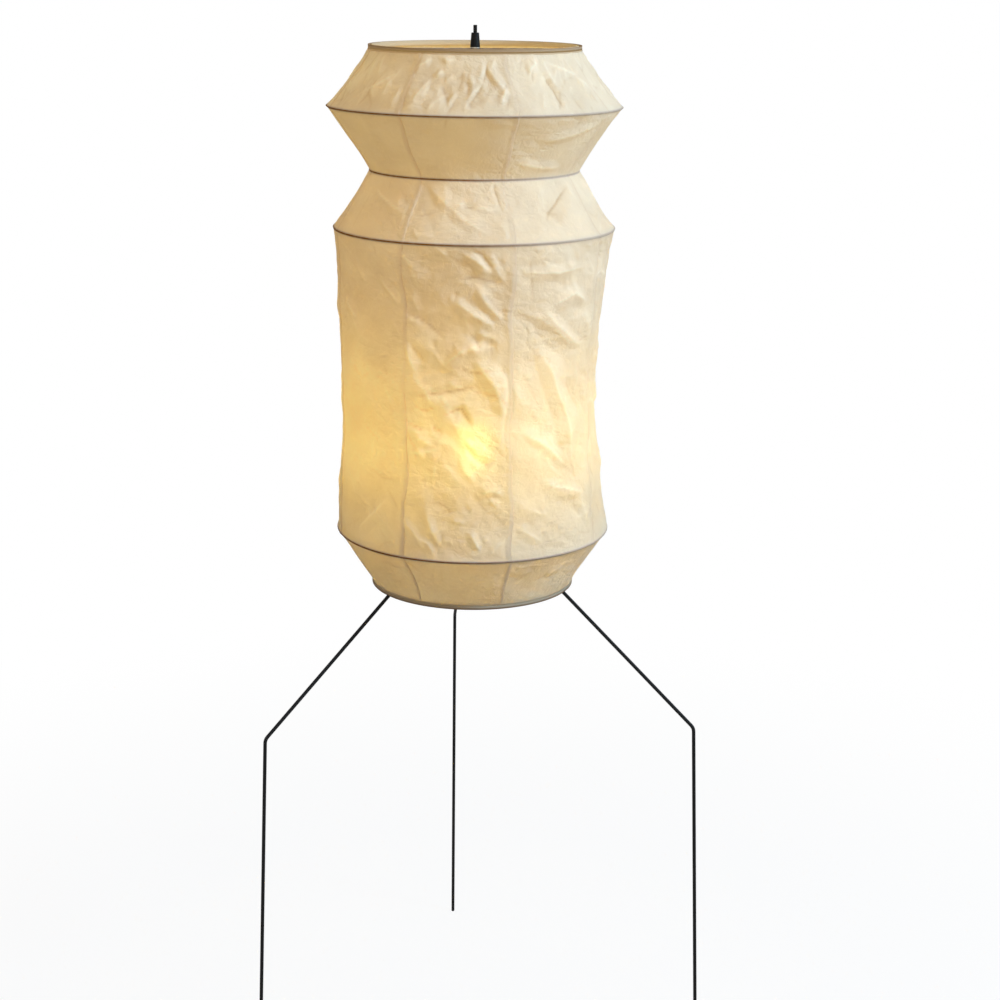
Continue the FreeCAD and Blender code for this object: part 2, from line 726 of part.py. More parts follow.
def nodes():
    """Every node by name."""
    made = {
        "top_ring": top_ring(),
        "top_cross_wire": top_cross_wire(),
        "top_washer": top_washer(),
        "upper_hoop": bamboo_hoop(UPPER_HEIGHT),
        "waist_hoop": bamboo_hoop(WAIST_HEIGHT),
        "shoulder_hoop": bamboo_hoop(SHOULDER_HEIGHT),
        "lower_hoop": bamboo_hoop(LOWER_HEIGHT),
        "bottom_ring": bottom_ring(),
        "top_nut": top_nut(),
        "stretcher_head": stretcher_head(),
        "stretcher_wire_left": stretcher_wire(-1),
        "stretcher_wire_right": stretcher_wire(1),
        "saddle": saddle(),
        "hub": hub(),
        "stem": stem(),
        "lock_washer": lock_washer(),
        "lock_nut": lock_nut(),
        "inlet_bush": inlet_bush(),
        "holder_base": holder_base(),
        "holder_shell": holder_shell(),
        "holder_core": holder_core(),
        "screw_shell": screw_shell(),
        "centre_contact": centre_contact(),
        "bulb_cap": bulb_cap(),
        "bulb_tip": bulb_tip(),
        "bulb_glass": bulb_glass(),
        "light_board": light_board(),
    }
    for number in range(GORES):
        made[f"paper_gore_{number + 1}"] = gore(number)
    for name, azimuth in LEG_AZIMUTHS.items():
        made[f"leg_{name}"] = leg(azimuth)
        made[f"thumbscrew_{name}"] = thumbscrew(azimuth)
    return made


os.makedirs("parts", exist_ok=True)
for node_name, shape in nodes().items():
    placed = shape.translated(Vector(0, AXIS_Y, 0))
    placed.exportStep(f"parts/{node_name}.step")
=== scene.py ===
"""Looks of a paper lantern floor lamp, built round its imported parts.

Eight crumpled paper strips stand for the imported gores, over bamboo hoops and two
bound steel rings. The rods, the hub, the stretcher and the bulb holder keep their
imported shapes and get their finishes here. Metres, +Z up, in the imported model's frame.
Azimuths are in degrees about the lamp's upright axis, from the front (-Y) towards +X.
"""

import logging
import math
from dataclasses import dataclass, field, replace
from enum import Enum
from typing import Any, Iterable, Sequence

import bmesh
import bpy
import numpy as np
from mathutils import Matrix, Vector


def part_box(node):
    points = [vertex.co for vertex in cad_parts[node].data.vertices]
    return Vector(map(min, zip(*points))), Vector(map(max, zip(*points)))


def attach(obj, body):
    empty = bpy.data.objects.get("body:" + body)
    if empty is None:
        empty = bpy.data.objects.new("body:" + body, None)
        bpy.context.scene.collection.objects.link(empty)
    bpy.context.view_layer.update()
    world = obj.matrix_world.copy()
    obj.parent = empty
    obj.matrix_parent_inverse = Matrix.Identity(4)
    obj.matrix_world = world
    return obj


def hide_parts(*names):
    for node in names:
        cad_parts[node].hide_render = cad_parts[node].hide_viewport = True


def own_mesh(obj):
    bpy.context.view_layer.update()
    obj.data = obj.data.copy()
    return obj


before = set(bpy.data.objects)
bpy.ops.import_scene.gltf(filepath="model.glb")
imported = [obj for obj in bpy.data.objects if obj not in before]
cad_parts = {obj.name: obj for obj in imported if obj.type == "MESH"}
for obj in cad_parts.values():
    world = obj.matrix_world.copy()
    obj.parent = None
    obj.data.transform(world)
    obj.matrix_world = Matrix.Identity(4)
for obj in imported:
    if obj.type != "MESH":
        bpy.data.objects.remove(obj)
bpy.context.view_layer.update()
AXIS_Y = (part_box("top_ring")[0].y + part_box("top_ring")[1].y) / 2
log = logging.getLogger("paper_lantern")

Colour = tuple[float, float, float]
Feed = Any  # a socket, a node or a plain value
Socket = bpy.types.NodeSocket


# ---- named options ---------------------------------------------------------------


class Body(Enum):
    """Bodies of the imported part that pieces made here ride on."""

    BASE = "base"
    SHADE = "shade"
    BOTTOM_RING = "bottom_ring"


class Slot(Enum):
    """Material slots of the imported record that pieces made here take."""

    PAPER = "paper"
    BLACK_PAINT = "black_paint"
    BLACK_PLASTIC = "black_plastic"


# ---- node trees ------------------------------------------------------------------


def screen(red: int, green: int, blue: int) -> Colour:
    """A linear colour from its screen values.

    Args:
        red: 0 to 255.
        green: 0 to 255.
        blue: 0 to 255.

    Returns:
        The colour as the shaders take it.
    """
    shares = (value / 255 for value in (red, green, blue))
    return tuple(s / 12.92 if s <= 0.04045 else ((s + 0.055) / 1.055) ** 2.4 for s in shares)


class Sketch:
    """Adds and joins the nodes of one tree."""

    def __init__(self, tree: bpy.types.NodeTree) -> None:
        """Starts on an empty or ready-made tree."""
        self.tree = tree

    def add(self, kind: str, inputs: dict[Any, Feed] | None = None, **settings: Any) -> bpy.types.Node:
        """A new node.

        Args:
            kind: its type.
            inputs: what goes into its sockets, by name or place.
            settings: its own properties.

        Returns:
            The node.
        """
        node = self.tree.nodes.new(kind)
        for name, value in settings.items():
            setattr(node, name, value)
        for key, value in (inputs or {}).items():
            self.feed(node.inputs[key], value)
        return node

    def feed(self, socket: Socket, value: Feed) -> None:
        """Links a node or a socket to an input, or sets it to a plain value.

        Args:
            socket: the input.
            value: what goes into it.
        """
        if isinstance(value, bpy.types.Node):
            value = value.outputs[0]
        if isinstance(value, Socket):
            self.tree.links.new(value, socket)
        elif socket.type == "RGBA" and len(value) == 3:
            socket.default_value = (*value, 1.0)
        else:
            socket.default_value = value

    def maths(self, operation: str, *values: Feed) -> Socket:
        """The result of a sum on one to three values."""
        return self.add("ShaderNodeMath", dict(enumerate(values)), operation=operation).outputs[0]

    def total(self, *values: Feed) -> Socket:
        """The sum of several values."""
        return self.chain("ADD", values)

    def product(self, *values: Feed) -> Socket:
        """Several values multiplied."""
        return self.chain("MULTIPLY", values)

    def chain(self, operation: str, values: Sequence[Feed]) -> Socket:
        """One operation taken through several values.

        Args:
            operation: its name.
            values: what it is done to, in order.

        Returns:
            The result's socket.
        """
        result = values[0]
        for value in values[1:]:
            result = self.maths(operation, result, value)
        return result

    def between(self, share: Feed, start: Feed, end: Feed) -> Socket:
        """The value that lies a share of the way from a start to an end."""
        return self.maths("MULTIPLY_ADD", self.maths("SUBTRACT", end, start), share, start)

    def span(self, first: Feed, second: Feed) -> Socket:
        """The distance over two lengths at right angles."""
        squares = [self.maths("POWER", length, 2.0) for length in (first, second)]
        return self.maths("SQRT", self.total(*squares))

    def remap(
        self, value: Feed, low: Feed, high: Feed, start: Feed = 0.0, end: Feed = 1.0, smooth: bool = False
    ) -> Socket:
        """A value moved from one range to another and held there.

        Args:
            value: what is moved.
            low: the old range's start.
            high: the old range's end.
            start: the new range's start.
            end: the new range's end.
            smooth: True for a soft start and end.

        Returns:
            The moved value's socket.
        """
        ranges = {"Value": value, "From Min": low, "From Max": high, "To Min": start, "To Max": end}
        kind = "SMOOTHSTEP" if smooth else "LINEAR"
        return self.add("ShaderNodeMapRange", ranges, interpolation_type=kind).outputs[0]

    def blend(self, share: Feed, first: Feed, second: Feed, mode: str = "MIX") -> Socket:
        """A mix of two colours.

        Args:
            share: how much of the second, 0 to 1.
            first: a colour.
            second: another.
            mode: how they combine.

        Returns:
            The mixed colour's socket.
        """
        colours = {0: share, 6: first, 7: second}
        return self.add("ShaderNodeMix", colours, data_type="RGBA", blend_type=mode).outputs[2]

    def noise(self, where: Feed, scale: float, detail: float = 2.0, **more: Feed) -> Socket:
        """Soft noise from 0 to 1 at a place, with features about 1/scale across.

        Args:
            where: the place.
            scale: how many features in a metre.
            detail: how many finer layers are added.
            more: other inputs, by name.

        Returns:
            The noise's socket.
        """
        inputs = {"Vector": where, "Scale": scale, "Detail": detail}
        inputs.update({name.capitalize(): value for name, value in more.items()})
        return self.add("ShaderNodeTexNoise", inputs).outputs[0]

    def stretched(self, where: Feed, scale: Sequence[float], turn: float = 0.0) -> Socket:
        """A place scaled, and turned about the upright axis, for a pattern with a grain."""
        placing = {"Vector": where, "Scale": scale, "Rotation": (0, 0, turn)}
        return self.add("ShaderNodeMapping", placing).outputs[0]

    def principled(self, inputs: dict[str, Feed]) -> Socket:
        """A principled shader with some of its inputs filled."""
        return self.add("ShaderNodeBsdfPrincipled", inputs).outputs[0]

    def looked_at(self) -> Socket:
        """1 for rays from the eye, straight or by way of gloss or glass, else 0.

        Returns:
            The share's socket.
        """
        rays = self.add("ShaderNodeLightPath").outputs
        direct = self.maths("MAXIMUM", rays["Is Camera Ray"], rays["Is Glossy Ray"])
        return self.maths("MAXIMUM", direct, rays["Is Transmission Ray"])


# ---- finishes --------------------------------------------------------------------


@dataclass(frozen=True)
class Finish:
    """A surface finish. Each kind builds one node material from its own fields."""

    name: str

    def material(self) -> bpy.types.Material:
        """The material, built at its first use.

        Returns:
            The material.
        """
        found = bpy.data.materials.get(self.name)
        if found is not None:
            return found
        made = bpy.data.materials.new(self.name)
        made.use_nodes = True
        made.node_tree.nodes.clear()
        sketch = Sketch(made.node_tree)
        shader = self.shade(sketch)
        sketch.add("ShaderNodeOutputMaterial", {"Surface": shader})
        return made

    def shade(self, sketch: Sketch) -> Socket:
        """The finish's shader."""
        raise NotImplementedError

    def here(self, sketch: Sketch) -> Socket:
        """Object coordinates, which are the model's own frame in metres."""
        return sketch.add("ShaderNodeTexCoord").outputs["Object"]


def bump(sketch: Sketch, height: Feed, depth: float, under: Feed | None = None) -> Socket:
    """A normal raised by a height from 0 to 1.

    Args:
        sketch: the tree.
        height: the relief.
        depth: what a height of 1 stands for, in metres.
        under: a bump that this one is laid on.

    Returns:
        The normal's socket.
    """
    inputs = {"Height": height, "Distance": depth, "Strength": 1.0}
    if under is not None:
        inputs["Normal"] = under
    return sketch.add("ShaderNodeBump", inputs).outputs[0]


@dataclass(frozen=True)
class WashiPaper(Finish):
    """Hand-made paper with long fibres, which glows where a lamp stands behind it."""

    sheet: Colour = screen(238, 235, 226)
    # a darker paper tone, taken by random clouds and mottle, by laps, and as painted shade in the
    # crumple's hollows
    shadowed: Colour = screen(228, 219, 202)
    fibre: Colour = (0.97, 0.94, 0.86)
    # painted highlight along crease ridges and painted shade along crease valleys
    ridge: Colour = screen(252, 250, 244)
    valley: Colour = screen(196, 176, 142)
    hoop_line: Colour = screen(134, 76, 10)
    lap_edge_shade: Colour = screen(186, 148, 92)
    light_through: Colour = (1.0, 0.88, 0.48)
    see_through: Colour = (1.0, 0.98, 0.86)
    glow: Colour = (0.20, 0.155, 0.024)
    glow_height: float = 1.135
    glow_above: float = 0.25
    glow_below: float = 0.19
    stray: Colour = (0.20, 0.12, 0.035)
    stray_from: float = 0.74
    stray_to: float = 1.28
    translucency: float = 0.36
    haze: float = 0.17
    haze_spread: float = 0.55
    haze_bend: float = 1.16
    grain_depth: float = 0.00007
    fibre_depth: float = 0.00010
    wrinkle_depth: float = 0.0012

    def shade(self, sketch: Sketch) -> Socket:
        """Paper mixed with the light that comes through it and a haze of what is behind.

        Args:
            sketch: the tree it is drawn in.

        Returns:
            The shader's socket.
        """
        sheet_map = sketch.add("ShaderNodeUVMap", uv_map="sheet").outputs[0]
        read = {
            name: sketch.add("ShaderNodeAttribute", attribute_name=name).outputs["Fac"]
            for name in ("relief", "hoop_line", "lap", "crease")
        }

        clouds = sketch.noise(sheet_map, 14.0, 4.0)
        mottle = sketch.noise(sheet_map, 90.0, 3.0)
        fibres = self.fibres(sketch, sheet_map)
        line = sketch.product(read["hoop_line"], sketch.remap(mottle, 0.3, 0.6, 0.9, 1.0))
        tints = (
            # painted shade: the paper's low places, where the crumple sinks in, take the darker tone
            (sketch.remap(read["relief"], 0.0, 1.0, 0.35, 0.0), self.shadowed),
            (sketch.remap(mottle, 0.45, 0.75, 0.0, 0.10), self.shadowed),
            (sketch.product(fibres, 0.18), self.fibre),
            (sketch.product(read["lap"], 0.35), self.shadowed),
            # painted shade along each lap's free edge
            (sketch.remap(read["lap"], 0.6, 1.0, 0.0, 0.28), self.lap_edge_shade),
            # painted highlights on crease ridges and painted shade in crease valleys
            (sketch.remap(read["crease"], 0.0, 1.0, 0.0, 0.75), self.ridge),
            (sketch.remap(read["crease"], 0.0, -1.0, 0.0, 0.75), self.valley),
            # the dark line over each hoop: partly the hoop seen through the paper, partly painted shade
            (line, self.hoop_line),
        )
        colour = sketch.blend(sketch.remap(clouds, 0.35, 0.7, 0.15, 0.75), self.sheet, self.shadowed)
        for share, tint in tints:
            colour = sketch.blend(share, colour, tint)

        grain = sketch.noise(sheet_map, 1400.0, 3.0)
        surface = bump(sketch, grain, self.grain_depth)
        surface = bump(sketch, fibres, self.fibre_depth, surface)
        surface = bump(sketch, self.wrinkles(sketch, sheet_map), self.wrinkle_depth, surface)
        thin = sketch.remap(clouds, 0.3, 0.7, 1.08, 0.9)
        bare = sketch.maths("MULTIPLY_ADD", line, -0.8, 1.0)

        paper = sketch.principled(
            {
                "Base Color": colour,
                "Roughness": sketch.remap(mottle, 0.2, 0.8, 0.72, 0.9),
                "Specular IOR Level": sketch.remap(line, 0.0, 1.0, 0.3, 0.0),
                "Normal": surface,
                "Emission Color": self.own_glow(sketch),
                "Emission Strength": sketch.product(thin, bare),
            }
        )
        lit = sketch.blend(1.0, colour, self.light_through, "MULTIPLY")
        through = sketch.add("ShaderNodeBsdfTranslucent", {"Color": lit, "Normal": surface})
        hazy = sketch.add(
            "ShaderNodeBsdfRefraction",
            {
                "Color": self.see_through,
                "Roughness": self.haze_spread,
                "IOR": self.haze_bend,
                "Normal": surface,
            },
        )
        clear = sketch.maths("SUBTRACT", 1.0, line)
        lit_share = sketch.product(clear, self.translucency)
        mixed = sketch.add("ShaderNodeMixShader", {0: lit_share, 1: paper, 2: through})
        seen = sketch.product(clear, self.haze)
        return sketch.add("ShaderNodeMixShader", {0: seen, 1: mixed, 2: hazy}).outputs[0]

    def own_glow(self, sketch: Sketch) -> Socket:
        """A painted glow for the light thrown about inside the lantern, most at the bulb's height and
        some above.

        Args:
            sketch: the tree it is drawn in.

        Returns:
            The colour that the paper gives off.
        """
        height = sketch.add("ShaderNodeSeparateXYZ", {0: self.here(sketch)}).outputs["Z"]
        offset = sketch.maths("SUBTRACT", height, self.glow_height)
        above = sketch.maths("DIVIDE", offset, self.glow_above)
        below = sketch.maths("DIVIDE", offset, -self.glow_below)
        away = sketch.maths("MAXIMUM", above, below)
        warmth = sketch.remap(away, 0.0, 1.0, 1.0, 0.0, smooth=True)
        stray = sketch.remap(height, self.stray_from, self.stray_to, smooth=True)
        near = sketch.blend(warmth, (0.0, 0.0, 0.0), self.glow, "ADD")
        return sketch.blend(stray, near, self.stray, "ADD")

    def fibres(self, sketch: Sketch, sheet_map: Feed) -> Socket:
        """Long thin fibres in two layers, 0 between them and 1 on them.

        Args:
            sketch: the tree it is drawn in.
            sheet_map: places on the flat sheet.

        Returns:
            The share of fibre, 0 to 1.
        """
        layers = []
        for scale, turn, width in ((26.0, 0.4, 0.010), (48.0, 1.9, 0.014)):
            turned = sketch.stretched(sheet_map, (1.0, 0.55, 1.0), turn)
            swirl = sketch.noise(turned, scale, 3.0, roughness=0.55)
            off = sketch.maths("ABSOLUTE", sketch.maths("SUBTRACT", swirl, 0.5))
            layers.append(sketch.remap(off, 0.0, width, 1.0, 0.0))
        return sketch.maths("MAXIMUM", *layers)

    def wrinkles(self, sketch: Sketch, sheet_map: Feed) -> Socket:
        """Fine sharp creases, too small for the mesh.

        Args:
            sketch: the tree it is drawn in.
            sheet_map: places on the flat sheet.

        Returns:
            The relief, 0 to 1.
        """
        swirl = sketch.add("ShaderNodeTexNoise", {"Vector": sheet_map, "Scale": 60.0}).outputs[1]
        shove = sketch.add("ShaderNodeVectorMath", {0: swirl, "Scale": 0.012}, operation="SCALE")
        bent = sketch.add("ShaderNodeVectorMath", {0: sheet_map, 1: shove}, operation="ADD")
        edges = []
        for scale, turn, stretch in ((62.0, 0.6, 0.5), (120.0, -0.5, 0.7)):
            spread = {"Vector": sketch.stretched(bent, (stretch, 1.0, 1.0), turn), "Scale": scale}
            cells = sketch.add("ShaderNodeTexVoronoi", spread, feature="DISTANCE_TO_EDGE")
            edges.append(sketch.remap(cells, 0.0, 0.5))
        calm = sketch.remap(sketch.noise(sheet_map, 9.0, 2.0), 0.38, 0.62, 0.25, 1.0)
        return sketch.product(sketch.maths("MULTIPLY_ADD", edges[1], -0.4, edges[0]), calm)


@dataclass(frozen=True)
class BlackPaint(Finish):
    """Matt black enamel on steel, with a fine skin and a little dust."""

    skin: Colour = (0.0045, 0.0042, 0.0040)
    dusty: Colour = (0.0090, 0.0082, 0.0075)

    def shade(self, sketch: Sketch) -> Socket:
        """Enamel whose skin and dust come from noise.

        Args:
            sketch: the tree it is drawn in.

        Returns:
            The shader's socket.
        """
        place = self.here(sketch)
        patches = sketch.noise(place, 32.0, 4.0)
        peel = sketch.noise(place, 900.0, 2.0)
        dust = sketch.remap(patches, 0.5, 0.8, 0.0, 0.7)
        return sketch.principled(
            {
                "Base Color": sketch.blend(dust, self.skin, self.dusty),
                "Roughness": sketch.remap(patches, 0.3, 0.7, 0.50, 0.64),
                "Specular IOR Level": 0.14,
                "Normal": bump(sketch, peel, 0.00003),
            }
        )


@dataclass(frozen=True)
class Metal(Finish):
    """Bare or plated metal with turning marks round the lamp's axis."""

    colour: Colour = (0.6, 0.6, 0.58)
    tarnish: Colour = (0.4, 0.39, 0.36)
    rough: float = 0.34
    marks: float = 700.0

    def shade(self, sketch: Sketch) -> Socket:
        """Metal with fine level marks and soft tarnish.

        Args:
            sketch: the tree it is drawn in.

        Returns:
            The shader's socket.
        """
        place = self.here(sketch)
        cloud = sketch.noise(place, 70.0, 4.0)
        marks = sketch.noise(sketch.stretched(place, (0.05, 0.05, 1.0)), self.marks, 2.0)
        return sketch.principled(
            {
                "Base Color": sketch.blend(sketch.remap(cloud, 0.45, 0.75), self.colour, self.tarnish),
                "Metallic": 1.0,
                "Roughness": sketch.remap(cloud, 0.3, 0.7, self.rough - 0.06, self.rough + 0.1),
                "Normal": bump(sketch, marks, 0.00004),
            }
        )


@dataclass(frozen=True)
class Bamboo(Finish):
    """Split bamboo bent to a hoop: fibres run round it, with a node every so often."""

    culm: Colour = screen(186, 146, 92)
    fibre: Colour = screen(128, 90, 48)
    joint: Colour = screen(88, 58, 30)
    joint_angle: float = 0.42
    joint_width: float = 0.012

    def shade(self, sketch: Sketch) -> Socket:
        """Fibres and joints drawn along the azimuth.

        Args:
            sketch: the tree it is drawn in.

        Returns:
            The shader's socket.
        """
        to_axis = {"Vector": self.here(sketch), "Location": (0, -AXIS_Y, 0)}
        centred = sketch.add("ShaderNodeMapping", to_axis)
        axes = sketch.add("ShaderNodeSeparateXYZ", {0: centred.outputs[0]}).outputs
        azimuth = sketch.maths("ARCTAN2", axes["X"], axes["Y"])
        run = sketch.product(azimuth, 2.0)
        reach = sketch.span(axes["X"], axes["Y"])
        along = sketch.add("ShaderNodeCombineXYZ", {0: run, 1: reach, 2: axes["Z"]})
        fine = sketch.noise(sketch.stretched(along.outputs[0], (0.01, 1.0, 1.0)), 1900.0, 3.0)
        stagger = sketch.product(axes["Z"], 7.0)
        ring = sketch.maths("PINGPONG", sketch.total(azimuth, stagger), self.joint_angle)
        joint = sketch.remap(ring, 0.0, self.joint_width, 1.0, 0.0, smooth=True)
        colour = sketch.blend(sketch.remap(fine, 0.35, 0.7), self.culm, self.fibre)
        return sketch.principled(
            {
                "Base Color": sketch.blend(joint, colour, self.joint),
                "Roughness": sketch.remap(fine, 0.3, 0.7, 0.45, 0.65),
                "Normal": bump(sketch, sketch.maths("MULTIPLY_ADD", joint, 0.8, fine), 0.00008),
            }
        )


@dataclass(frozen=True)
class MouldedPlastic(Finish):
    """Matt thermoset plastic with a faint mottle."""

    colour: Colour = (0.014, 0.013, 0.013)
    worn: Colour = (0.040, 0.036, 0.033)
    rough: float = 0.48

    def shade(self, sketch: Sketch) -> Socket:
        """Plastic with a fine mould texture.

        Args:
            sketch: the tree it is drawn in.

        Returns:
            The shader's socket.
        """
        place = self.here(sketch)
        mottle = sketch.noise(place, 240.0, 4.0)
        skin = sketch.noise(place, 2600.0, 2.0)
        return sketch.principled(
            {
                "Base Color": sketch.blend(sketch.remap(mottle, 0.5, 0.85), self.colour, self.worn),
                "Roughness": sketch.remap(mottle, 0.3, 0.7, self.rough - 0.05, self.rough + 0.1),
                "Normal": bump(sketch, skin, 0.00005),
            }
        )


@dataclass(frozen=True)
class Porcelain(Finish):
    """Glazed ceramic with fine specks."""

    glaze: Colour = screen(240, 236, 226)
    specks: Colour = screen(206, 196, 178)

    def shade(self, sketch: Sketch) -> Socket:
        """Glaze over a speckled body.

        Args:
            sketch: the tree it is drawn in.

        Returns:
            The shader's socket.
        """
        place = self.here(sketch)
        specks = sketch.noise(place, 900.0, 3.0)
        flow = sketch.noise(place, 120.0, 2.0)
        return sketch.principled(
            {
                "Base Color": sketch.blend(sketch.remap(specks, 0.6, 0.7), self.glaze, self.specks),
                "Roughness": sketch.remap(flow, 0.3, 0.7, 0.15, 0.3),
                "Coat Weight": 0.5,
                "Normal": bump(sketch, flow, 0.0001),
            }
        )


@dataclass(frozen=True)
class LitGlass(Finish):
    """Frosted glass with its lamp on, brightest over the joint of the neck and the globe."""

    glass: Colour = (0.95, 0.92, 0.86)
    light: Colour = (1.0, 0.74, 0.24)
    middle: float = 1.066
    reach: float = 0.030
    dim_share: float = 0.06
    strength: float = 370.0

    def shade(self, sketch: Sketch) -> Socket:
        """White coated glass that gives off its own light.

        Args:
            sketch: the tree it is drawn in.

        Returns:
            The shader's socket.
        """
        place = self.here(sketch)
        height = sketch.add("ShaderNodeSeparateXYZ", {0: place}).outputs["Z"]
        frost = sketch.noise(place, 1500.0, 2.0)
        away = sketch.maths("ABSOLUTE", sketch.maths("SUBTRACT", height, self.middle))
        bright = sketch.remap(away, 0.0, self.reach, 1.0, self.dim_share, smooth=True)
        return sketch.principled(
            {
                "Base Color": self.glass,
                "Roughness": sketch.remap(frost, 0.3, 0.7, 0.4, 0.6),
                "Normal": bump(sketch, frost, 0.00004),
                "Emission Color": self.light,
                "Emission Strength": sketch.product(bright, self.strength),
            }
        )


@dataclass(frozen=True)
class LightBoard(Finish):
    """A white board with a ring of small yellow lights."""

    board: Colour = (0.86, 0.84, 0.8)
    phosphor: Colour = screen(245, 196, 60)
    pitch: float = 0.004

    def shade(self, sketch: Sketch) -> Socket:
        """Round yellow dots on white.

        Args:
            sketch: the tree it is drawn in.

        Returns:
            The shader's socket.
        """
        cells = sketch.add(
            "ShaderNodeTexVoronoi",
            {"Vector": self.here(sketch), "Scale": 1 / self.pitch, "Randomness": 0.0},
            voronoi_dimensions="2D",
        )
        dot = sketch.remap(cells, 0.28, 0.34, 1.0, 0.0)
        return sketch.principled(
            {
                "Base Color": sketch.blend(dot, self.board, self.phosphor),
                "Roughness": 0.4,
                "Normal": bump(sketch, dot, 0.0003),
                "Emission Color": self.phosphor,
                "Emission Strength": sketch.product(dot, 4.0),
            }
        )


PAPER = WashiPaper("washi_paper")
BINDING = WashiPaper("binding_paper", sheet=screen(222, 208, 180), shadowed=screen(186, 164, 128))
BLACK = BlackPaint("black_enamel")
ZINC = Metal("zinc_plate")
NICKEL = Metal("nickel_plate", (0.72, 0.70, 0.66), (0.56, 0.54, 0.50), 0.24)
BRASS = Metal("worn_brass", (0.78, 0.57, 0.28), (0.52, 0.37, 0.18), 0.3)
RING_STEEL = Metal("brown_steel", (0.24, 0.19, 0.14), (0.12, 0.08, 0.05), 0.5)
BAMBOO = Bamboo("split_bamboo")
PLASTIC = MouldedPlastic("black_plastic")
PORCELAIN = Porcelain("glazed_porcelain")
LIT_GLASS = LitGlass("lit_frosted_glass")
LIGHT_BOARD = LightBoard("light_board")


# ---- geometry trees --------------------------------------------------------------

HOOP_NAMES = ("Top", "Upper", "Waist", "Shoulder", "Lower", "Bottom")
CROWDING = 0.75  # how much a band's rows crowd towards its hoops, 0 for even rows
LAP_LIFT = 1.1  # how far a lap stands off the next gore, in thicknesses of the paper
MAP_TOP = 1.1  # height of a gore's upper end on the flat sheet's map, in metres
WELD = 1e-5  # points closer than this become one


class Recipe(Sketch):
    """A geometry tree with named inputs for its sizes."""

    def __init__(self, name: str, sizes: dict[str, float | int]) -> None:
        """Starts the tree.

        Args:
            name: what it makes.
            sizes: its inputs' names and usual values.
        """
        super().__init__(bpy.data.node_groups.new(name, "GeometryNodeTree"))
        face = self.tree.interface
        face.new_socket("Geometry", in_out="OUTPUT", socket_type="NodeSocketGeometry")
        for label, usual in sizes.items():
            kind = "NodeSocketInt" if isinstance(usual, int) else "NodeSocketFloat"
            face.new_socket(label, in_out="INPUT", socket_type=kind).default_value = usual
        face.new_socket("Material", in_out="INPUT", socket_type="NodeSocketMaterial")
        self.size = self.add("NodeGroupInput").outputs
        self.outlet = self.add("NodeGroupOutput")

    def end(self, geometry: Feed) -> None:
        """Makes copies real, gives the finish and closes the tree.

        Args:
            geometry: what the tree has made.
        """
        real = self.add("GeometryNodeRealizeInstances", {0: geometry})
        dressed = self.add("GeometryNodeSetMaterial", {0: real, "Material": self.size["Material"]})
        self.feed(self.outlet.inputs[0], dressed)

    def keep(
        self, geometry: Feed, name: str, value: Feed, kind: str = "FLOAT", domain: str = "POINT"
    ) -> Socket:
        """Geometry that carries a named value at each point or corner.

        Args:
            geometry: what the tree has made.
            name: the value's name.
            value: what goes into it.
            kind: its type.
            domain: what carries it.

        Returns:
            The geometry with the value.
        """
        inputs = {"Geometry": geometry, "Name": name, "Value": value}
        settings = {"data_type": kind, "domain": domain}
        return self.add("GeometryNodeStoreNamedAttribute", inputs, **settings).outputs[0]

    def grow(self, name: str, sizes: dict[str, float | int], finish: Finish) -> bpy.types.Object:
        """Runs the tree once and keeps its result as a plain mesh.

        Args:
            name: the piece's name.
            sizes: values for the tree's inputs.
            finish: what its surface is.

        Returns:
            The piece, at the origin and with no modifier.
        """
        piece = bpy.data.objects.new(name, bpy.data.meshes.new(name + "_start"))
        bpy.context.scene.collection.objects.link(piece)
        shaper = piece.modifiers.new("shape", "NODES")
        shaper.node_group = self.tree
        sockets = {
            item.name: item.identifier
            for item in self.tree.interface.items_tree
            if item.item_type == "SOCKET" and item.in_out == "INPUT"
        }
        for label, value in sizes.items():
            shaper[sockets[label]] = value
        shaper[sockets["Material"]] = finish.material()
        graph = bpy.context.evaluated_depsgraph_get()
        shaped = piece.evaluated_get(graph)
        mesh = bpy.data.meshes.new_from_object(shaped, preserve_all_data_layers=True, depsgraph=graph)
        piece.modifiers.remove(shaper)
        start, piece.data = piece.data, mesh
        bpy.data.meshes.remove(start)
        mesh.name = name
        return piece


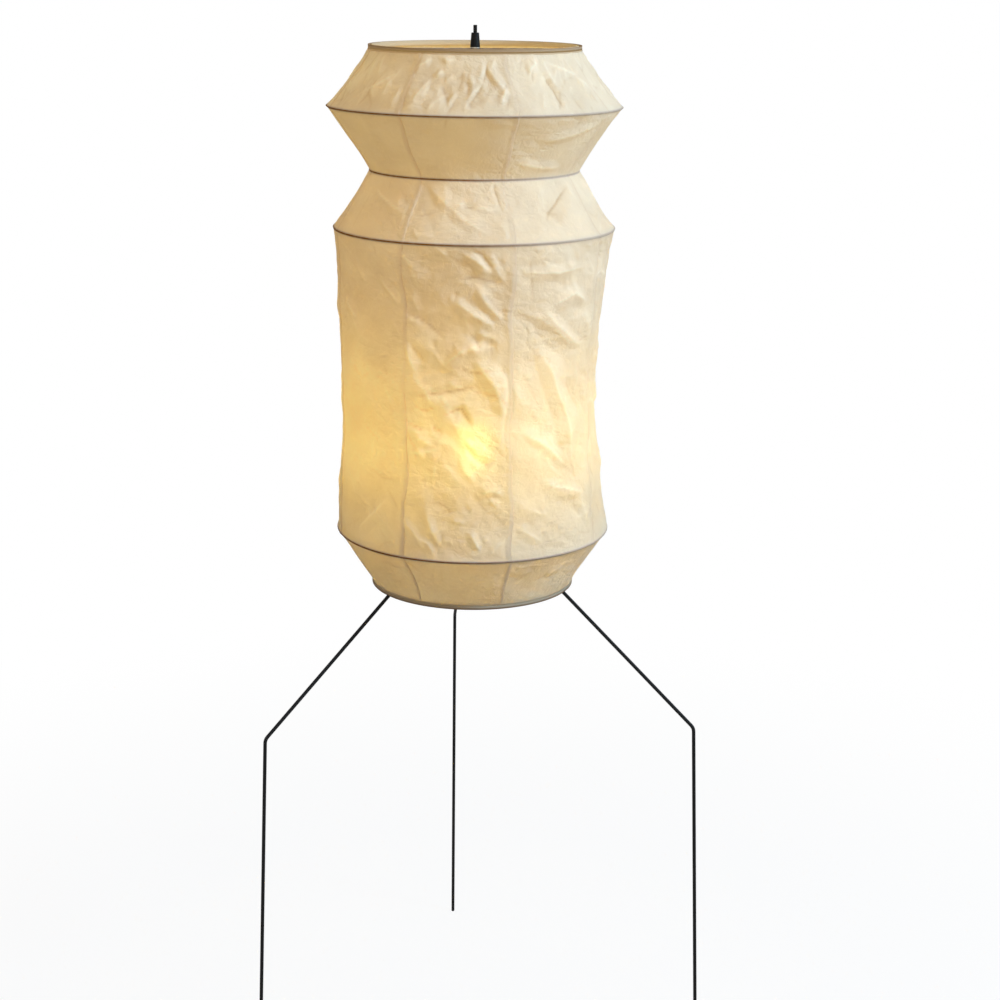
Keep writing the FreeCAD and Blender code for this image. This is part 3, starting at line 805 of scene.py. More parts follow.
def paper_band() -> Recipe:
    """The tree for the paper of one gore between two hoops.

    Between its hoops the band draws in, more in the middle of the gore than at its
    seams, so that the strip flattens there. Rows crowd towards the hoops.

    Returns:
        The tree.
    """
    made = Recipe(
        "Paper band",
        {
            "First Azimuth": 0.0,
            "Gore Angle": math.radians(45),
            "Lap Angle": 0.03,
            "Axis Y": 0.0,
            "Columns": 66,
            "Lap Columns": 4,
            "Rows": 40,
            "Paper": 0.0005,
            "Upper Height": 1.0,
            "Upper Radius": 0.2,
            "Lower Height": 0.9,
            "Lower Radius": 0.2,
            "Seam Sag": 0.0,
            "Middle Sag": 0.0,
            "Length Above": 0.0,
            "Band": 0,
            "Map Radius": 0.23,
        },
    )
    size = made.size
    grid = made.add(
        "GeometryNodeMeshGrid",
        {"Size X": 1.0, "Size Y": 1.0, "Vertices X": size["Columns"], "Vertices Y": size["Rows"]},
    )
    spot = made.add("ShaderNodeSeparateXYZ", {0: made.add("GeometryNodeInputPosition")}).outputs
    over = made.maths("ADD", spot["X"], 0.5)
    drop = made.maths("SUBTRACT", 0.5, spot["Y"])

    # Across: 0 to 1 over the gore, then the lap over the next gore.
    gaps = made.maths("SUBTRACT", size["Columns"], 1.0)
    seam = made.maths("DIVIDE", made.maths("SUBTRACT", gaps, size["Lap Columns"]), gaps)
    lap = made.remap(over, seam, 1.0)
    lap_share = made.maths("DIVIDE", size["Lap Angle"], size["Gore Angle"])
    across = made.total(made.remap(over, 0.0, seam), made.product(lap, lap_share))
    azimuth = made.maths("MULTIPLY_ADD", across, size["Gore Angle"], size["First Azimuth"])

    # Down: rows crowd towards both hoops.
    wave = made.maths("COSINE", made.product(drop, math.pi))
    eased = made.maths("SUBTRACT", 0.5, made.product(wave, 0.5))
    down = made.between(CROWDING, drop, eased)
    height = made.between(down, size["Upper Height"], size["Lower Height"])
    straight = made.between(down, size["Upper Radius"], size["Lower Radius"])
    bow = made.product(down, made.maths("SUBTRACT", 1.0, down), 4.0)
    swell = made.maths("ABSOLUTE", made.maths("SINE", made.product(across, math.pi)))
    sag = made.between(swell, size["Seam Sag"], size["Middle Sag"])
    last_column = made.maths("SUBTRACT", 1.0, made.maths("DIVIDE", 1.0, gaps))
    lift = made.product(made.remap(across, last_column, 1.0), size["Paper"], LAP_LIFT)
    radius = made.total(straight, made.product(sag, bow, -1.0), lift)

    right = made.product(radius, made.maths("SINE", azimuth))
    ahead = made.product(radius, made.maths("COSINE", azimuth))
    front = made.maths("SUBTRACT", size["Axis Y"], ahead)
    place = made.add("ShaderNodeCombineXYZ", {0: right, 1: front, 2: height})
    rise = made.maths("SUBTRACT", size["Upper Height"], size["Lower Height"])
    spread = made.maths("SUBTRACT", size["Upper Radius"], size["Lower Radius"])
    length = made.span(rise, spread)
    run = made.product(down, length)
    to_hoop = made.product(made.maths("MINIMUM", down, made.maths("SUBTRACT", 1.0, down)), length)
    sheet = made.add(
        "ShaderNodeCombineXYZ",
        {
            0: made.product(azimuth, size["Map Radius"]),
            1: made.maths("SUBTRACT", MAP_TOP, made.maths("ADD", run, size["Length Above"])),
        },
    )
    paper = made.keep(grid.outputs["Mesh"], "sheet", sheet, "FLOAT2", "CORNER")
    kept = {"across": across, "down": down, "to_hoop": to_hoop, "band": size["Band"], "lap": lap}
    for name, value in kept.items():
        paper = made.keep(paper, name, value)
    shaped = made.add("GeometryNodeSetPosition", {"Geometry": paper, "Position": place})
    made.feed(made.outlet.inputs[0], shaped)
    return made


def paper_gore() -> Recipe:
    """The tree for one whole gore: five bands between six hoops, welded at the hoops.

    Returns:
        The tree.
    """
    band = paper_band()
    shared = ("First Azimuth", "Gore Angle", "Lap Angle", "Axis Y")
    shared += ("Columns", "Lap Columns", "Paper", "Map Radius")
    usual = band.tree.interface.items_tree
    defaults = {item.name: item.default_value for item in usual if item.name in shared}
    hoops = {f"{name} {what}": 0.2 for name in HOOP_NAMES for what in ("Height", "Radius")}
    shape = {"Rows": 40, "Seam Sag": 0.0, "Middle Sag": 0.0}
    bands = {f"Band {i} {what}": value for i in range(1, 6) for what, value in shape.items()}
    made = Recipe("Paper gore", defaults | hoops | bands)
    size = made.size
    joined = made.add("GeometryNodeJoinGeometry")
    above: Feed = 0.0
    for number, (upper, lower) in enumerate(zip(HOOP_NAMES, HOOP_NAMES[1:]), start=1):
        inputs = {name: size[name] for name in shared}
        for place, hoop in (("Upper", upper), ("Lower", lower)):
            for what in ("Height", "Radius"):
                inputs[f"{place} {what}"] = size[f"{hoop} {what}"]
        for what in shape:
            inputs[what] = size[f"Band {number} {what}"]
        inputs["Length Above"] = above
        inputs["Band"] = number
        node = made.tree.nodes.new("GeometryNodeGroup")
        node.node_tree = band.tree
        for name, value in inputs.items():
            made.feed(node.inputs[name], value)
        made.tree.links.new(node.outputs[0], joined.inputs[0])
        rise = made.maths("SUBTRACT", inputs["Upper Height"], inputs["Lower Height"])
        spread = made.maths("SUBTRACT", inputs["Upper Radius"], inputs["Lower Radius"])
        above = made.maths("ADD", above, made.span(rise, spread))
    welded = made.add("GeometryNodeMergeByDistance", {"Geometry": joined, "Distance": WELD})
    made.end(welded)
    return made


def ring_binding() -> Recipe:
    """The tree for a strip of paper folded over a ring: a folded section swept round.

    Returns:
        The tree.
    """
    made = Recipe(
        "Ring binding",
        {
            "Ring Radius": 0.17,
            "Height": 1.75,
            "Axis Y": 0.0,
            "Wrap": 0.0025,
            "Drop": 0.007,
            "Resolution": 360,
        },
    )
    size = made.size
    ring = {"Resolution": size["Resolution"], "Radius": size["Ring Radius"]}
    circle = made.add("GeometryNodeCurvePrimitiveCircle", ring)
    raised = made.add("ShaderNodeCombineXYZ", {1: size["Axis Y"], 2: size["Height"]})
    path = made.add("GeometryNodeTransform", {"Geometry": circle, "Translation": raised})
    # The section: an arc over the ring with a flap at each end.
    sweep = made.product(made.maths("SIGN", size["Drop"]), math.pi)
    arc = {"Resolution": 9, "Radius": size["Wrap"], "Start Angle": 0.0, "Sweep Angle": sweep}
    fold = made.add("GeometryNodeCurveArc", arc)
    flaps = made.add("GeometryNodeJoinGeometry")
    for side in (1.0, -1.0):
        edge = made.product(size["Wrap"], side)
        top = made.add("ShaderNodeCombineXYZ", {0: edge})
        low = made.add("ShaderNodeCombineXYZ", {0: edge, 1: made.product(size["Drop"], -1.0)})
        flap = made.add("GeometryNodeCurvePrimitiveLine", {"Start": top, "End": low})
        made.tree.links.new(flap.outputs[0], flaps.inputs[0])
    made.tree.links.new(fold.outputs[0], flaps.inputs[0])
    swept = made.add("GeometryNodeCurveToMesh", {"Curve": path, "Profile Curve": flaps})
    welded = made.add("GeometryNodeMergeByDistance", {"Geometry": swept, "Distance": WELD})
    made.end(welded)
    return made


def screw_thread() -> Recipe:
    """The tree for a thread: a small three-cornered ridge along a helix.

    Returns:
        The tree.
    """
    made = Recipe(
        "Screw thread",
        {
            "Radius": 0.003,
            "Pitch": 0.001,
            "Length": 0.01,
            "Bottom": 0.0,
            "Axis Y": 0.0,
            "Ridge": 0.00042,
            "Steps": 24,
        },
    )
    size = made.size
    helix = made.add(
        "GeometryNodeCurveSpiral",
        {
            "Resolution": size["Steps"],
            "Rotations": made.maths("DIVIDE", size["Length"], size["Pitch"]),
            "Start Radius": size["Radius"],
            "End Radius": size["Radius"],
            "Height": size["Length"],
        },
    )
    lift = made.add("ShaderNodeCombineXYZ", {1: size["Axis Y"], 2: size["Bottom"]})
    placed = made.add("GeometryNodeTransform", {"Geometry": helix, "Translation": lift})
    ridge = made.add("GeometryNodeCurvePrimitiveCircle", {"Resolution": 4, "Radius": size["Ridge"]})
    sweep = {"Curve": placed, "Profile Curve": ridge, "Fill Caps": True}
    made.end(made.add("GeometryNodeCurveToMesh", sweep))
    return made


def grip_ribs() -> Recipe:
    """The tree for upright ribs round a shell: one rounded rib copied round a circle.

    Returns:
        The tree.
    """
    made = Recipe(
        "Grip ribs",
        {
            "Shell Radius": 0.0195,
            "Bottom": 1.02,
            "Length": 0.02,
            "Rib": 0.0005,
            "Count": 36,
            "Axis Y": 0.0,
        },
    )
    size = made.size
    shell = {"Vertices": size["Count"], "Radius": size["Shell Radius"]}
    circle = made.add("GeometryNodeMeshCircle", shell)
    bar = {"Vertices": 8, "Radius": size["Rib"], "Depth": size["Length"]}
    rib = made.add("GeometryNodeMeshCylinder", bar)
    copies = made.add("GeometryNodeInstanceOnPoints", {"Points": circle, "Instance": rib})
    middle = made.maths("MULTIPLY_ADD", size["Length"], 0.5, size["Bottom"])
    lift = made.add("ShaderNodeCombineXYZ", {1: size["Axis Y"], 2: middle})
    made.end(made.add("GeometryNodeTransform", {"Geometry": copies, "Translation": lift}))
    return made


# ---- crumpled paper --------------------------------------------------------------


@dataclass(frozen=True)
class Facets:
    """One scale of crumpling: flat facets between sharp creases.

    Sizes are in metres along the paper, and the lean is of the long side from level.
    """

    width: float
    depth: float
    stretch: float
    lean: float
    seed: int

    def heights(self, u: np.ndarray, v: np.ndarray) -> np.ndarray:
        """Height of the crumpled sheet at points of the flat one.

        Args:
            u: places along the sheet's width.
            v: places along its length.

        Returns:
            Heights from about -depth to depth.
        """
        turn = math.radians(self.lean)
        a = (u * math.cos(turn) + v * math.sin(turn)) / (self.width * self.stretch)
        b = (v * math.cos(turn) - u * math.sin(turn)) / self.width
        rng = np.random.default_rng(self.seed)
        phases = rng.uniform(0, 2 * math.pi, 4)
        bend, ripple = 0.16, 0.05  # in cells, so that no crease is quite straight
        a = a + bend * np.sin(3.1 * b + phases[0]) + ripple * np.sin(8.3 * b + phases[1])
        b = b + bend * np.sin(2.7 * a + phases[2]) + ripple * np.sin(9.1 * a + phases[3])
        low_a, low_b = math.floor(a.min()) - 2, math.floor(b.min()) - 2
        count_a, count_b = math.ceil(a.max()) - low_a + 3, math.ceil(b.max()) - low_b + 3
        jitter = rng.uniform(-0.34, 0.34, (2, count_a, count_b))
        rise = rng.uniform(-1.0, 1.0, (count_a, count_b))
        corner_a = np.arange(count_a)[:, None] + jitter[0]
        corner_b = np.arange(count_b)[None, :] + jitter[1]
        pa, pb = a - low_a, b - low_b
        cell_a, cell_b = np.floor(pa).astype(int), np.floor(pb).astype(int)
        height = np.zeros_like(pa)
        found = np.zeros(pa.shape, bool)
        for step_a in (-1, 0, 1):
            for step_b in (-1, 0, 1):
                i, j = cell_a + step_a, cell_b + step_b
                for corners in self.triangles(i, j):
                    x, y, z = ([table[c] for c in corners] for table in (corner_a, corner_b, rise))
                    value, within = self.plane(pa, pb, x, y, z)
                    inside = within & ~found
                    height[inside] = value[inside]
                    found |= inside
        return height * self.depth

    @staticmethod
    def plane(
        a: np.ndarray, b: np.ndarray, x: list[np.ndarray], y: list[np.ndarray], z: list[np.ndarray]
    ) -> tuple[np.ndarray, np.ndarray]:
        """The plane through a facet's three corners.

        Args:
            a: first coordinates of the places asked for.
            b: their second coordinates.
            x: the corners' first coordinates, for each place.
            y: their second coordinates.
            z: their heights.

        Returns:
            The plane's height at each place, and whether the place lies in the facet.
        """
        area = (x[1] - x[0]) * (y[2] - y[0]) - (x[2] - x[0]) * (y[1] - y[0])
        w1 = ((a - x[0]) * (y[2] - y[0]) - (x[2] - x[0]) * (b - y[0])) / area
        w2 = ((x[1] - x[0]) * (b - y[0]) - (a - x[0]) * (y[1] - y[0])) / area
        within = (w1 >= -1e-9) & (w2 >= -1e-9) & (w1 + w2 <= 1 + 1e-9)
        return z[0] + w1 * (z[1] - z[0]) + w2 * (z[2] - z[0]), within

    @staticmethod
    def triangles(i: np.ndarray, j: np.ndarray) -> Iterable[list[tuple[np.ndarray, np.ndarray]]]:
        """Corner places of both triangles of each cell, split one way or the other.

        Args:
            i: the cells' first numbers.
            j: the cells' second numbers.

        Returns:
            The corners of one triangle of every cell, then of the other.
        """
        even = (i + j) % 2 == 0
        yield [(i, j), (i + 1, j), (np.where(even, i + 1, i), j + 1)]
        yield [(np.where(even, i, i + 1), j), (i + 1, j + 1), (i, j + 1)]


FOLD_LINE = 0.0018  # half the width of the painted highlight or painted shade line along a crease
SHARP_FOLD = 0.0034  # depth from which a crease's painted line is at full strength
FLANK_SHARE = 0.78  # how much of its given widths a crease takes up


@dataclass(frozen=True)
class Fold:
    """A crease through (azimuth, height) points, in degrees and metres.

    Its section is a tent: high at the crease by its depth, negative for a valley, and
    down to nothing at its widths to the left and right of the way from first to last.
    """

    points: tuple[tuple[float, float], ...]
    depth: float
    left: float = 0.012
    right: float = 0.012

    def press(self, u: np.ndarray, v: np.ndarray, radius: float) -> tuple[np.ndarray, np.ndarray]:
        """What the crease does to the sheet.

        Args:
            u: places along the sheet's width, in metres.
            v: their heights.
            radius: what the sheet's width is measured at.

        Returns:
            How far each place is pushed out, and how much of the crease's painted line it
            takes: 1 for a painted highlight on a ridge, -1 for painted shade in a valley.
        """
        corners = np.array([(math.radians(azimuth) * radius, height) for azimuth, height in self.points])
        runs = np.diff(corners, axis=0)
        lengths = np.linalg.norm(runs, axis=1)
        nearest, side, along = np.full(u.shape, np.inf), np.zeros(u.shape), np.zeros(u.shape)
        for number, (start, run, length) in enumerate(zip(corners, runs, lengths)):
            off_u, off_v = u - start[0], v - start[1]
            share = np.clip((off_u * run[0] + off_v * run[1]) / length**2, 0, 1)
            away = np.hypot(off_u - share * run[0], off_v - share * run[1])
            nearer = away < nearest
            nearest = np.where(nearer, away, nearest)
            side = np.where(nearer, run[0] * off_v - run[1] * off_u, side)
            along = np.where(nearer, (lengths[:number].sum() + share * length) / lengths.sum(), along)
        width = FLANK_SHARE * np.where(side > 0, self.left, self.right)
        ends = np.clip(4 * np.minimum(along, 1 - along), 0, 1)
        push = self.depth * ends * np.clip(1 - nearest / (width * (0.4 + 0.6 * ends)), 0, 1)
        line = ends * np.exp(-((nearest / FOLD_LINE) ** 2)) * np.clip(self.depth / SHARP_FOLD, -1, 1)
        return push, line


@dataclass(frozen=True)
class Creasing:
    """Chance creases of one band of a gore: how many, how long, how deep, which way.

    Lengths and depths are in metres, the lean and its spread in degrees from level.
    """

    count: int
    shortest: float
    longest: float
    depth: float
    lean: float
    spread: float

    def folds(
        self,
        rng: np.random.Generator,
        middle: float,
        reach: float,
        low: float,
        high: float,
        radius: float,
    ) -> list[Fold]:
        """Creases scattered over a band.

        Args:
            rng: the chance.
            middle: azimuth of the gore's middle, in degrees.
            reach: degrees to either side of it.
            low: the band's lower height.
            high: its upper height.
            radius: what the sheet's width is measured at.

        Returns:
            The creases.
        """
        made = []
        for _ in range(self.count):
            azimuth = math.radians(middle + rng.uniform(-reach, reach))
            centre = np.array([azimuth * radius, rng.uniform(low, high)])
            length = rng.uniform(self.shortest, self.longest)
            turn = math.radians(rng.normal(self.lean, self.spread))
            ahead = np.array([math.cos(turn), math.sin(turn)]) * length / 2
            bend = np.array([-ahead[1], ahead[0]]) * rng.uniform(-0.35, 0.35)
            spots = (centre - ahead, centre + bend, centre + ahead)
            points = tuple((math.degrees(spot[0] / radius), float(spot[1])) for spot in spots)
            depth = self.depth * rng.uniform(0.4, 1.0) * rng.choice((1.0, 1.0, -1.0))
            left, right = (length * rng.uniform(0.10, 0.40) + 0.004 for _ in range(2))
            made.append(Fold(points, depth, left, right))
        return made


@dataclass(frozen=True)
class DrawIn:
    """Where the long band is drawn in more, or less, than its even sag."""

    azimuth: float
    spread: float
    depth: float


# ---- sub-assemblies --------------------------------------------------------------


def smooth_step(value: np.ndarray, low: float, high: float) -> np.ndarray:
    """0 up to low, 1 from high, and a soft rise between them."""
    share = np.clip((value - low) / (high - low), 0, 1)
    return share * share * (3 - 2 * share)


def read_points(mesh: bpy.types.Mesh, name: str) -> np.ndarray:
    """A named value at each of a mesh's points.

    Args:
        mesh: the mesh.
        name: the value's name.

    Returns:
        The values, one for each point.
    """
    values = np.zeros(len(mesh.vertices), np.float32)
    mesh.attributes[name].data.foreach_get("value", values)
    return values.astype(float)


def write_points(mesh: bpy.types.Mesh, name: str, values: np.ndarray) -> None:
    """Stores a named value at each of a mesh's points."""
    found = mesh.attributes.get(name) or mesh.attributes.new(name, "FLOAT", "POINT")
    found.data.foreach_set("value", values.astype(np.float32))


def read_places(mesh: bpy.types.Mesh) -> np.ndarray:
    """A row of x, y and z for each of a mesh's points.

    Args:
        mesh: the mesh.

    Returns:
        The rows.
    """
    places = np.zeros(len(mesh.vertices) * 3, np.float32)
    mesh.vertices.foreach_get("co", places)
    return places.reshape(-1, 3).astype(float)


def write_places(mesh: bpy.types.Mesh, places: np.ndarray) -> None:
    """Moves a mesh's points to the given rows of x, y and z."""
    mesh.vertices.foreach_set("co", places.astype(np.float32).ravel())
    mesh.update()


def thicken(piece: bpy.types.Object, paper: float, offset: float) -> None:
    """Makes a piece smooth and gives it the paper's thickness.

    Args:
        piece: a single sheet.
        paper: how thick it gets.
        offset: -1 to grow inwards, 0 to both sides.
    """
    piece.data.shade_smooth()
    thickness = piece.modifiers.new("thickness", "SOLIDIFY")
    thickness.thickness = paper
    thickness.offset = offset


def dress(names: Iterable[str], finish: Finish) -> None:
    """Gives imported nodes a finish.

    Args:
        names: the nodes.
        finish: what their surface is.
    """
    for name in names:
        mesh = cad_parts[name].data
        mesh.materials.clear()
        mesh.materials.append(finish.material())
        log.info("%s: %s", name, finish.name)


@dataclass
class Lantern:
    """The paper lantern: eight glued gores over four bamboo hoops and two steel rings."""

    heights: tuple[float, ...] = (1.750, 1.659, 1.557, 1.464, 0.954, 0.86156)
    radii: tuple[float, ...] = (0.171, 0.240, 0.171, 0.231, 0.230, 0.171)
    seam_sags: tuple[float, ...] = (0.0015, 0.0015, 0.0015, 0.011, 0.0015)
    middle_sags: tuple[float, ...] = (0.0035, 0.0035, 0.0035, 0.017, 0.0035)
    rows: tuple[int, ...] = (46, 46, 46, 184, 46)
    columns: int = 86
    lap_columns: int = 3
    lap: float = 0.007
    gores: int = 8
    first_seam: float = 10.0
    paper: float = 0.0005
    map_radius: float = 0.23
    welt: float = 0.0009
    welt_width: float = 0.0024
    hoop_hold: float = 0.016
    seam_hold: float = 0.011
    relief_range: float = 0.008
    drift: float = 0.0022
    line_width: float = 0.0018
    line_core: float = 1.4
    # the hoop line's share kept on the lit right side, and where its painted shade fades in
    line_on_lit_side: float = 0.50
    line_fade: tuple[float, float] = (-0.9, 0.5)
    ring_inset: float = 0.0019
    ring_half: float = 0.0006
    binding_wrap: float = 0.0030
    binding_drop: float = 0.0062
    binding_paper: float = 0.0003
    binding_edge: tuple[float, float] = (-0.0002, 0.0022)
    binding_line: float = 0.85
    binding_relief: float = 0.6
    wire_notch: float = 0.0030
    leg_notch: float = 0.0052
    notch_margin: tuple[float, float] = (0.0005, 0.0006)
    wire_ends: tuple[float, ...] = (-90.0, 90.0)
    leg_azimuths: tuple[float, ...] = (-60.0, 60.0, 180.0)
    crease_seed: int = 400
    fold_reach: float = 0.62
    gather_keep: float = 0.11005
    gather_from: float = 1.7485

    # How deeply each band of each gore is crumpled, from 0 for smooth to 1.
    crumple: tuple[tuple[float, ...], ...] = (
        (0.80, 0.70, 0.60, 0.75, 0.65, 0.70, 0.65, 0.85),
        (0.22, 0.25, 0.20, 0.25, 0.20, 0.18, 0.12, 0.12),
        (0.45, 0.40, 0.35, 0.30, 0.35, 0.30, 0.35, 0.60),
        (0.55, 0.70, 0.75, 0.80, 0.70, 0.45, 0.30, 0.80),
        (0.60, 0.50, 0.30, 0.35, 0.30, 0.25, 0.20, 0.30),
    )
    scales: tuple[Facets, ...] = (
        Facets(0.070, 0.0026, 1.5, -38.0, 3),
        Facets(0.026, 0.0016, 2.0, -30.0, 7),
        Facets(0.012, 0.0008, 1.5, 28.0, 11),
    )
    creasings: tuple[Creasing, ...] = (
        Creasing(32, 0.014, 0.060, 0.0030, 70.0, 42.0),
        Creasing(4, 0.050, 0.120, 0.0016, 14.0, 14.0),
        Creasing(14, 0.020, 0.080, 0.0026, -38.0, 30.0),
        Creasing(72, 0.015, 0.085, 0.0034, -36.0, 30.0),
        Creasing(14, 0.020, 0.070, 0.0026, 10.0, 35.0),
    )
    # Soft waves of the paper: how far out, how many radians round and up, where they start.
    waves: tuple[tuple[float, ...], ...] = (
        (0.0011, 2, 23, 0.0),
        (0.0009, 5, -41, 1.3),
        (0.0006, 9, 71, 0.4),
    )
    draws: tuple[DrawIn, ...] = (DrawIn(82.0, 34.0, 0.009), DrawIn(-88.0, 34.0, -0.004))
    # The photograph's own creases, from the top band down.
    folds: tuple[Fold, ...] = (
        Fold(((-57, 1.745), (-53, 1.713)), 0.0035, 0.018, 0.015),
        Fold(((-59, 1.688), (-51, 1.699), (-42, 1.720)), 0.0040, 0.021, 0.015),
        Fold(((-27, 1.742), (-38, 1.721)), 0.0045, 0.015, 0.021),
        Fold(((-26, 1.711), (-29, 1.682)), 0.0035, 0.012, 0.015),
        Fold(((-20, 1.703), (-15, 1.678)), -0.0035, 0.018, 0.012),
        Fold(((3, 1.740), (-1, 1.712), (-8, 1.670)), -0.0045, 0.024, 0.011),
        Fold(((1, 1.729), (6, 1.706), (10.5, 1.684)), 0.0060, 0.018, 0.015),
        Fold(((7, 1.701), (5, 1.676)), 0.0030, 0.012, 0.012),
        Fold(((21, 1.723), (27, 1.737)), 0.0035, 0.012, 0.015),
        Fold(((29, 1.720), (32, 1.693), (31.5, 1.668)), -0.0050, 0.013, 0.030),
        Fold(((32, 1.737), (51, 1.714)), 0.0035, 0.018, 0.021),
        Fold(((48, 1.715), (62, 1.676)), 0.0040, 0.015, 0.021),
        Fold(((23, 1.616), (39, 1.626), (54, 1.642)), 0.0040, 0.018, 0.012),
        Fold(((13, 1.587), (26, 1.577), (43, 1.572)), 0.0030, 0.015, 0.012),
        Fold(((-63, 1.537), (-41, 1.511), (-36, 1.506)), 0.0035, 0.018, 0.018),
        Fold(((-30, 1.548), (-17, 1.521), (-9.5, 1.502), (2, 1.477)), 0.0050, 0.024, 0.018),
        Fold(((-18, 1.527), (6.5, 1.513)), 0.0030, 0.018, 0.015),
        Fold(((6, 1.562), (8, 1.507)), -0.0030, 0.015, 0.012),
        Fold(((50, 1.541), (28, 1.493)), -0.0060, 0.024, 0.045),
        Fold(((-9, 1.452), (-4, 1.440), (1.5, 1.421)), 0.0045, 0.012, 0.018),
        Fold(((-11, 1.410), (-4, 1.414), (8, 1.401)), -0.0030, 0.015, 0.015),
        Fold(((-13.5, 1.383), (-5, 1.359), (4.5, 1.334)), 0.0055, 0.015, 0.024),
        Fold(((-4, 1.405), (2, 1.370), (9.5, 1.340)), 0.0050, 0.018, 0.015),
        Fold(((-4.5, 1.327), (5, 1.316)), 0.0030, 0.009, 0.015),
        Fold(((-18, 1.272), (-9, 1.298), (4, 1.305)), 0.0050, 0.012, 0.045),
        Fold(((-4.5, 1.284), (3, 1.244), (9, 1.186)), 0.0070, 0.033, 0.021),
        Fold(((-35.4, 1.310), (-29.4, 1.258)), 0.0050, 0.018, 0.021),
        Fold(((-28, 1.222), (-17, 1.229), (-3.5, 1.241)), -0.0035, 0.018, 0.018),
        Fold(((-16.5, 1.193), (-9, 1.205), (-4, 1.176)), -0.0045, 0.009, 0.033),
        Fold(((-8, 1.147), (-4, 1.126), (2, 1.111)), -0.0030, 0.009, 0.015),
        Fold(((-30.5, 1.156), (-22, 1.144)), 0.0030, 0.012, 0.015),
        Fold(((-24, 1.038), (-18, 0.979)), 0.0040, 0.015, 0.018),
        Fold(((-5, 1.006), (-1, 0.973)), 0.0040, 0.012, 0.015),
        Fold(((14, 1.421), (30, 1.417), (45, 1.422)), 0.0045, 0.018, 0.021),
        Fold(((14, 1.361), (26, 1.343), (40, 1.301), (53, 1.294)), 0.0055, 0.021, 0.018),
        Fold(((22.5, 1.369), (34, 1.329), (46, 1.295)), 0.0050, 0.018, 0.015),
        Fold(((25, 1.358), (40, 1.381), (51, 1.358)), 0.0045, 0.018, 0.024),
        Fold(((22, 1.302), (30.5, 1.255), (39, 1.171), (44.5, 1.093)), 0.0090, 0.045, 0.033),
        Fold(((15, 1.170), (28, 1.140), (43, 1.087)), 0.0055, 0.021, 0.018),
        Fold(((25, 1.079), (50, 1.047)), 0.0060, 0.015, 0.030),
        Fold(((13, 1.011), (25.5, 0.980)), 0.0035, 0.018, 0.018),
        Fold(((54, 1.033), (57, 0.992)), 0.0030, 0.012, 0.012),
        Fold(((-45.5, 1.402), (-39, 1.376), (-37, 1.363)), 0.0035, 0.018, 0.015),
        Fold(((-72.6, 1.362), (-62.5, 1.328)), 0.0035, 0.021, 0.021),
        Fold(((-61, 0.980), (-42, 1.047)), 0.0030, 0.018, 0.024),
        Fold(((43, 0.925), (32, 0.907)), 0.0030, 0.012, 0.015),
    )

    gore_tree: Recipe = field(default_factory=paper_gore)
    binding_tree: Recipe = field(default_factory=ring_binding)

    def build(self) -> None:
        """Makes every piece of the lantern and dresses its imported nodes."""
        for number in range(1, self.gores + 1):
            self.gore(number)
        self.binding("top_binding", Body.SHADE, upright=True)
        self.binding("bottom_binding", Body.BOTTOM_RING, upright=False)
        dress([f"{name.lower()}_hoop" for name in HOOP_NAMES[1:-1]], BAMBOO)
        dress(("top_ring", "bottom_ring", "top_cross_wire"), RING_STEEL)
        dress(("top_washer",), ZINC)

    def gore(self, number: int) -> bpy.types.Object:
        """One crumpled paper strip, from its seam to its lap over the next strip.

        Args:
            number: 1 to 8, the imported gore's number.

        Returns:
            The piece.
        """
        step = 2 * math.pi / self.gores
        sizes: dict[str, float | int] = {
            "First Azimuth": math.radians(self.first_seam) + (number - 1) * step,
            "Gore Angle": step,
            "Lap Angle": self.lap / self.map_radius,
            "Axis Y": AXIS_Y,
            "Columns": self.columns,
            "Lap Columns": self.lap_columns,
            "Paper": self.paper,
            "Map Radius": self.map_radius,
        }
        for name, height, radius in zip(HOOP_NAMES, self.heights, self.radii):
            sizes[f"{name} Height"] = height
            sizes[f"{name} Radius"] = radius
        bands = zip(self.rows, self.seam_sags, self.middle_sags)
        for band, (rows, seam, middle) in enumerate(bands, start=1):
            sizes[f"Band {band} Rows"] = rows
            sizes[f"Band {band} Seam Sag"] = seam
            sizes[f"Band {band} Middle Sag"] = middle
        piece = self.gore_tree.grow(f"gore_{number}", sizes, PAPER)
        self.crush(piece.data, number)
        thicken(piece, self.paper, -1.0)
        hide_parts(f"paper_gore_{number}")
        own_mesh(piece)
        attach(piece, Body.SHADE.value)
        log.info("%s: %d faces", piece.name, len(piece.data.polygons))
        return piece

    def crush(self, mesh: bpy.types.Mesh, number: int) -> None:
        """Crumples a gore: facets and folds inside it, and a slack that all gores share.

        Args:
            mesh: the smooth gore.
            number: its number, which picks its facets.
        """
        points = read_places(mesh)
        names = ("across", "down", "band", "to_hoop")
        across, down, band, to_hoop = (read_points(mesh, name) for name in names)
        x, y, z = points[:, 0], points[:, 1] - AXIS_Y, points[:, 2]
        azimuth = np.arctan2(x, -y)
        outward = np.stack([np.sin(azimuth), -np.cos(azimuth), np.zeros_like(x)], 1)
        sideways = np.stack([np.cos(azimuth), np.sin(azimuth), np.zeros_like(x)], 1)
        u = azimuth * self.map_radius

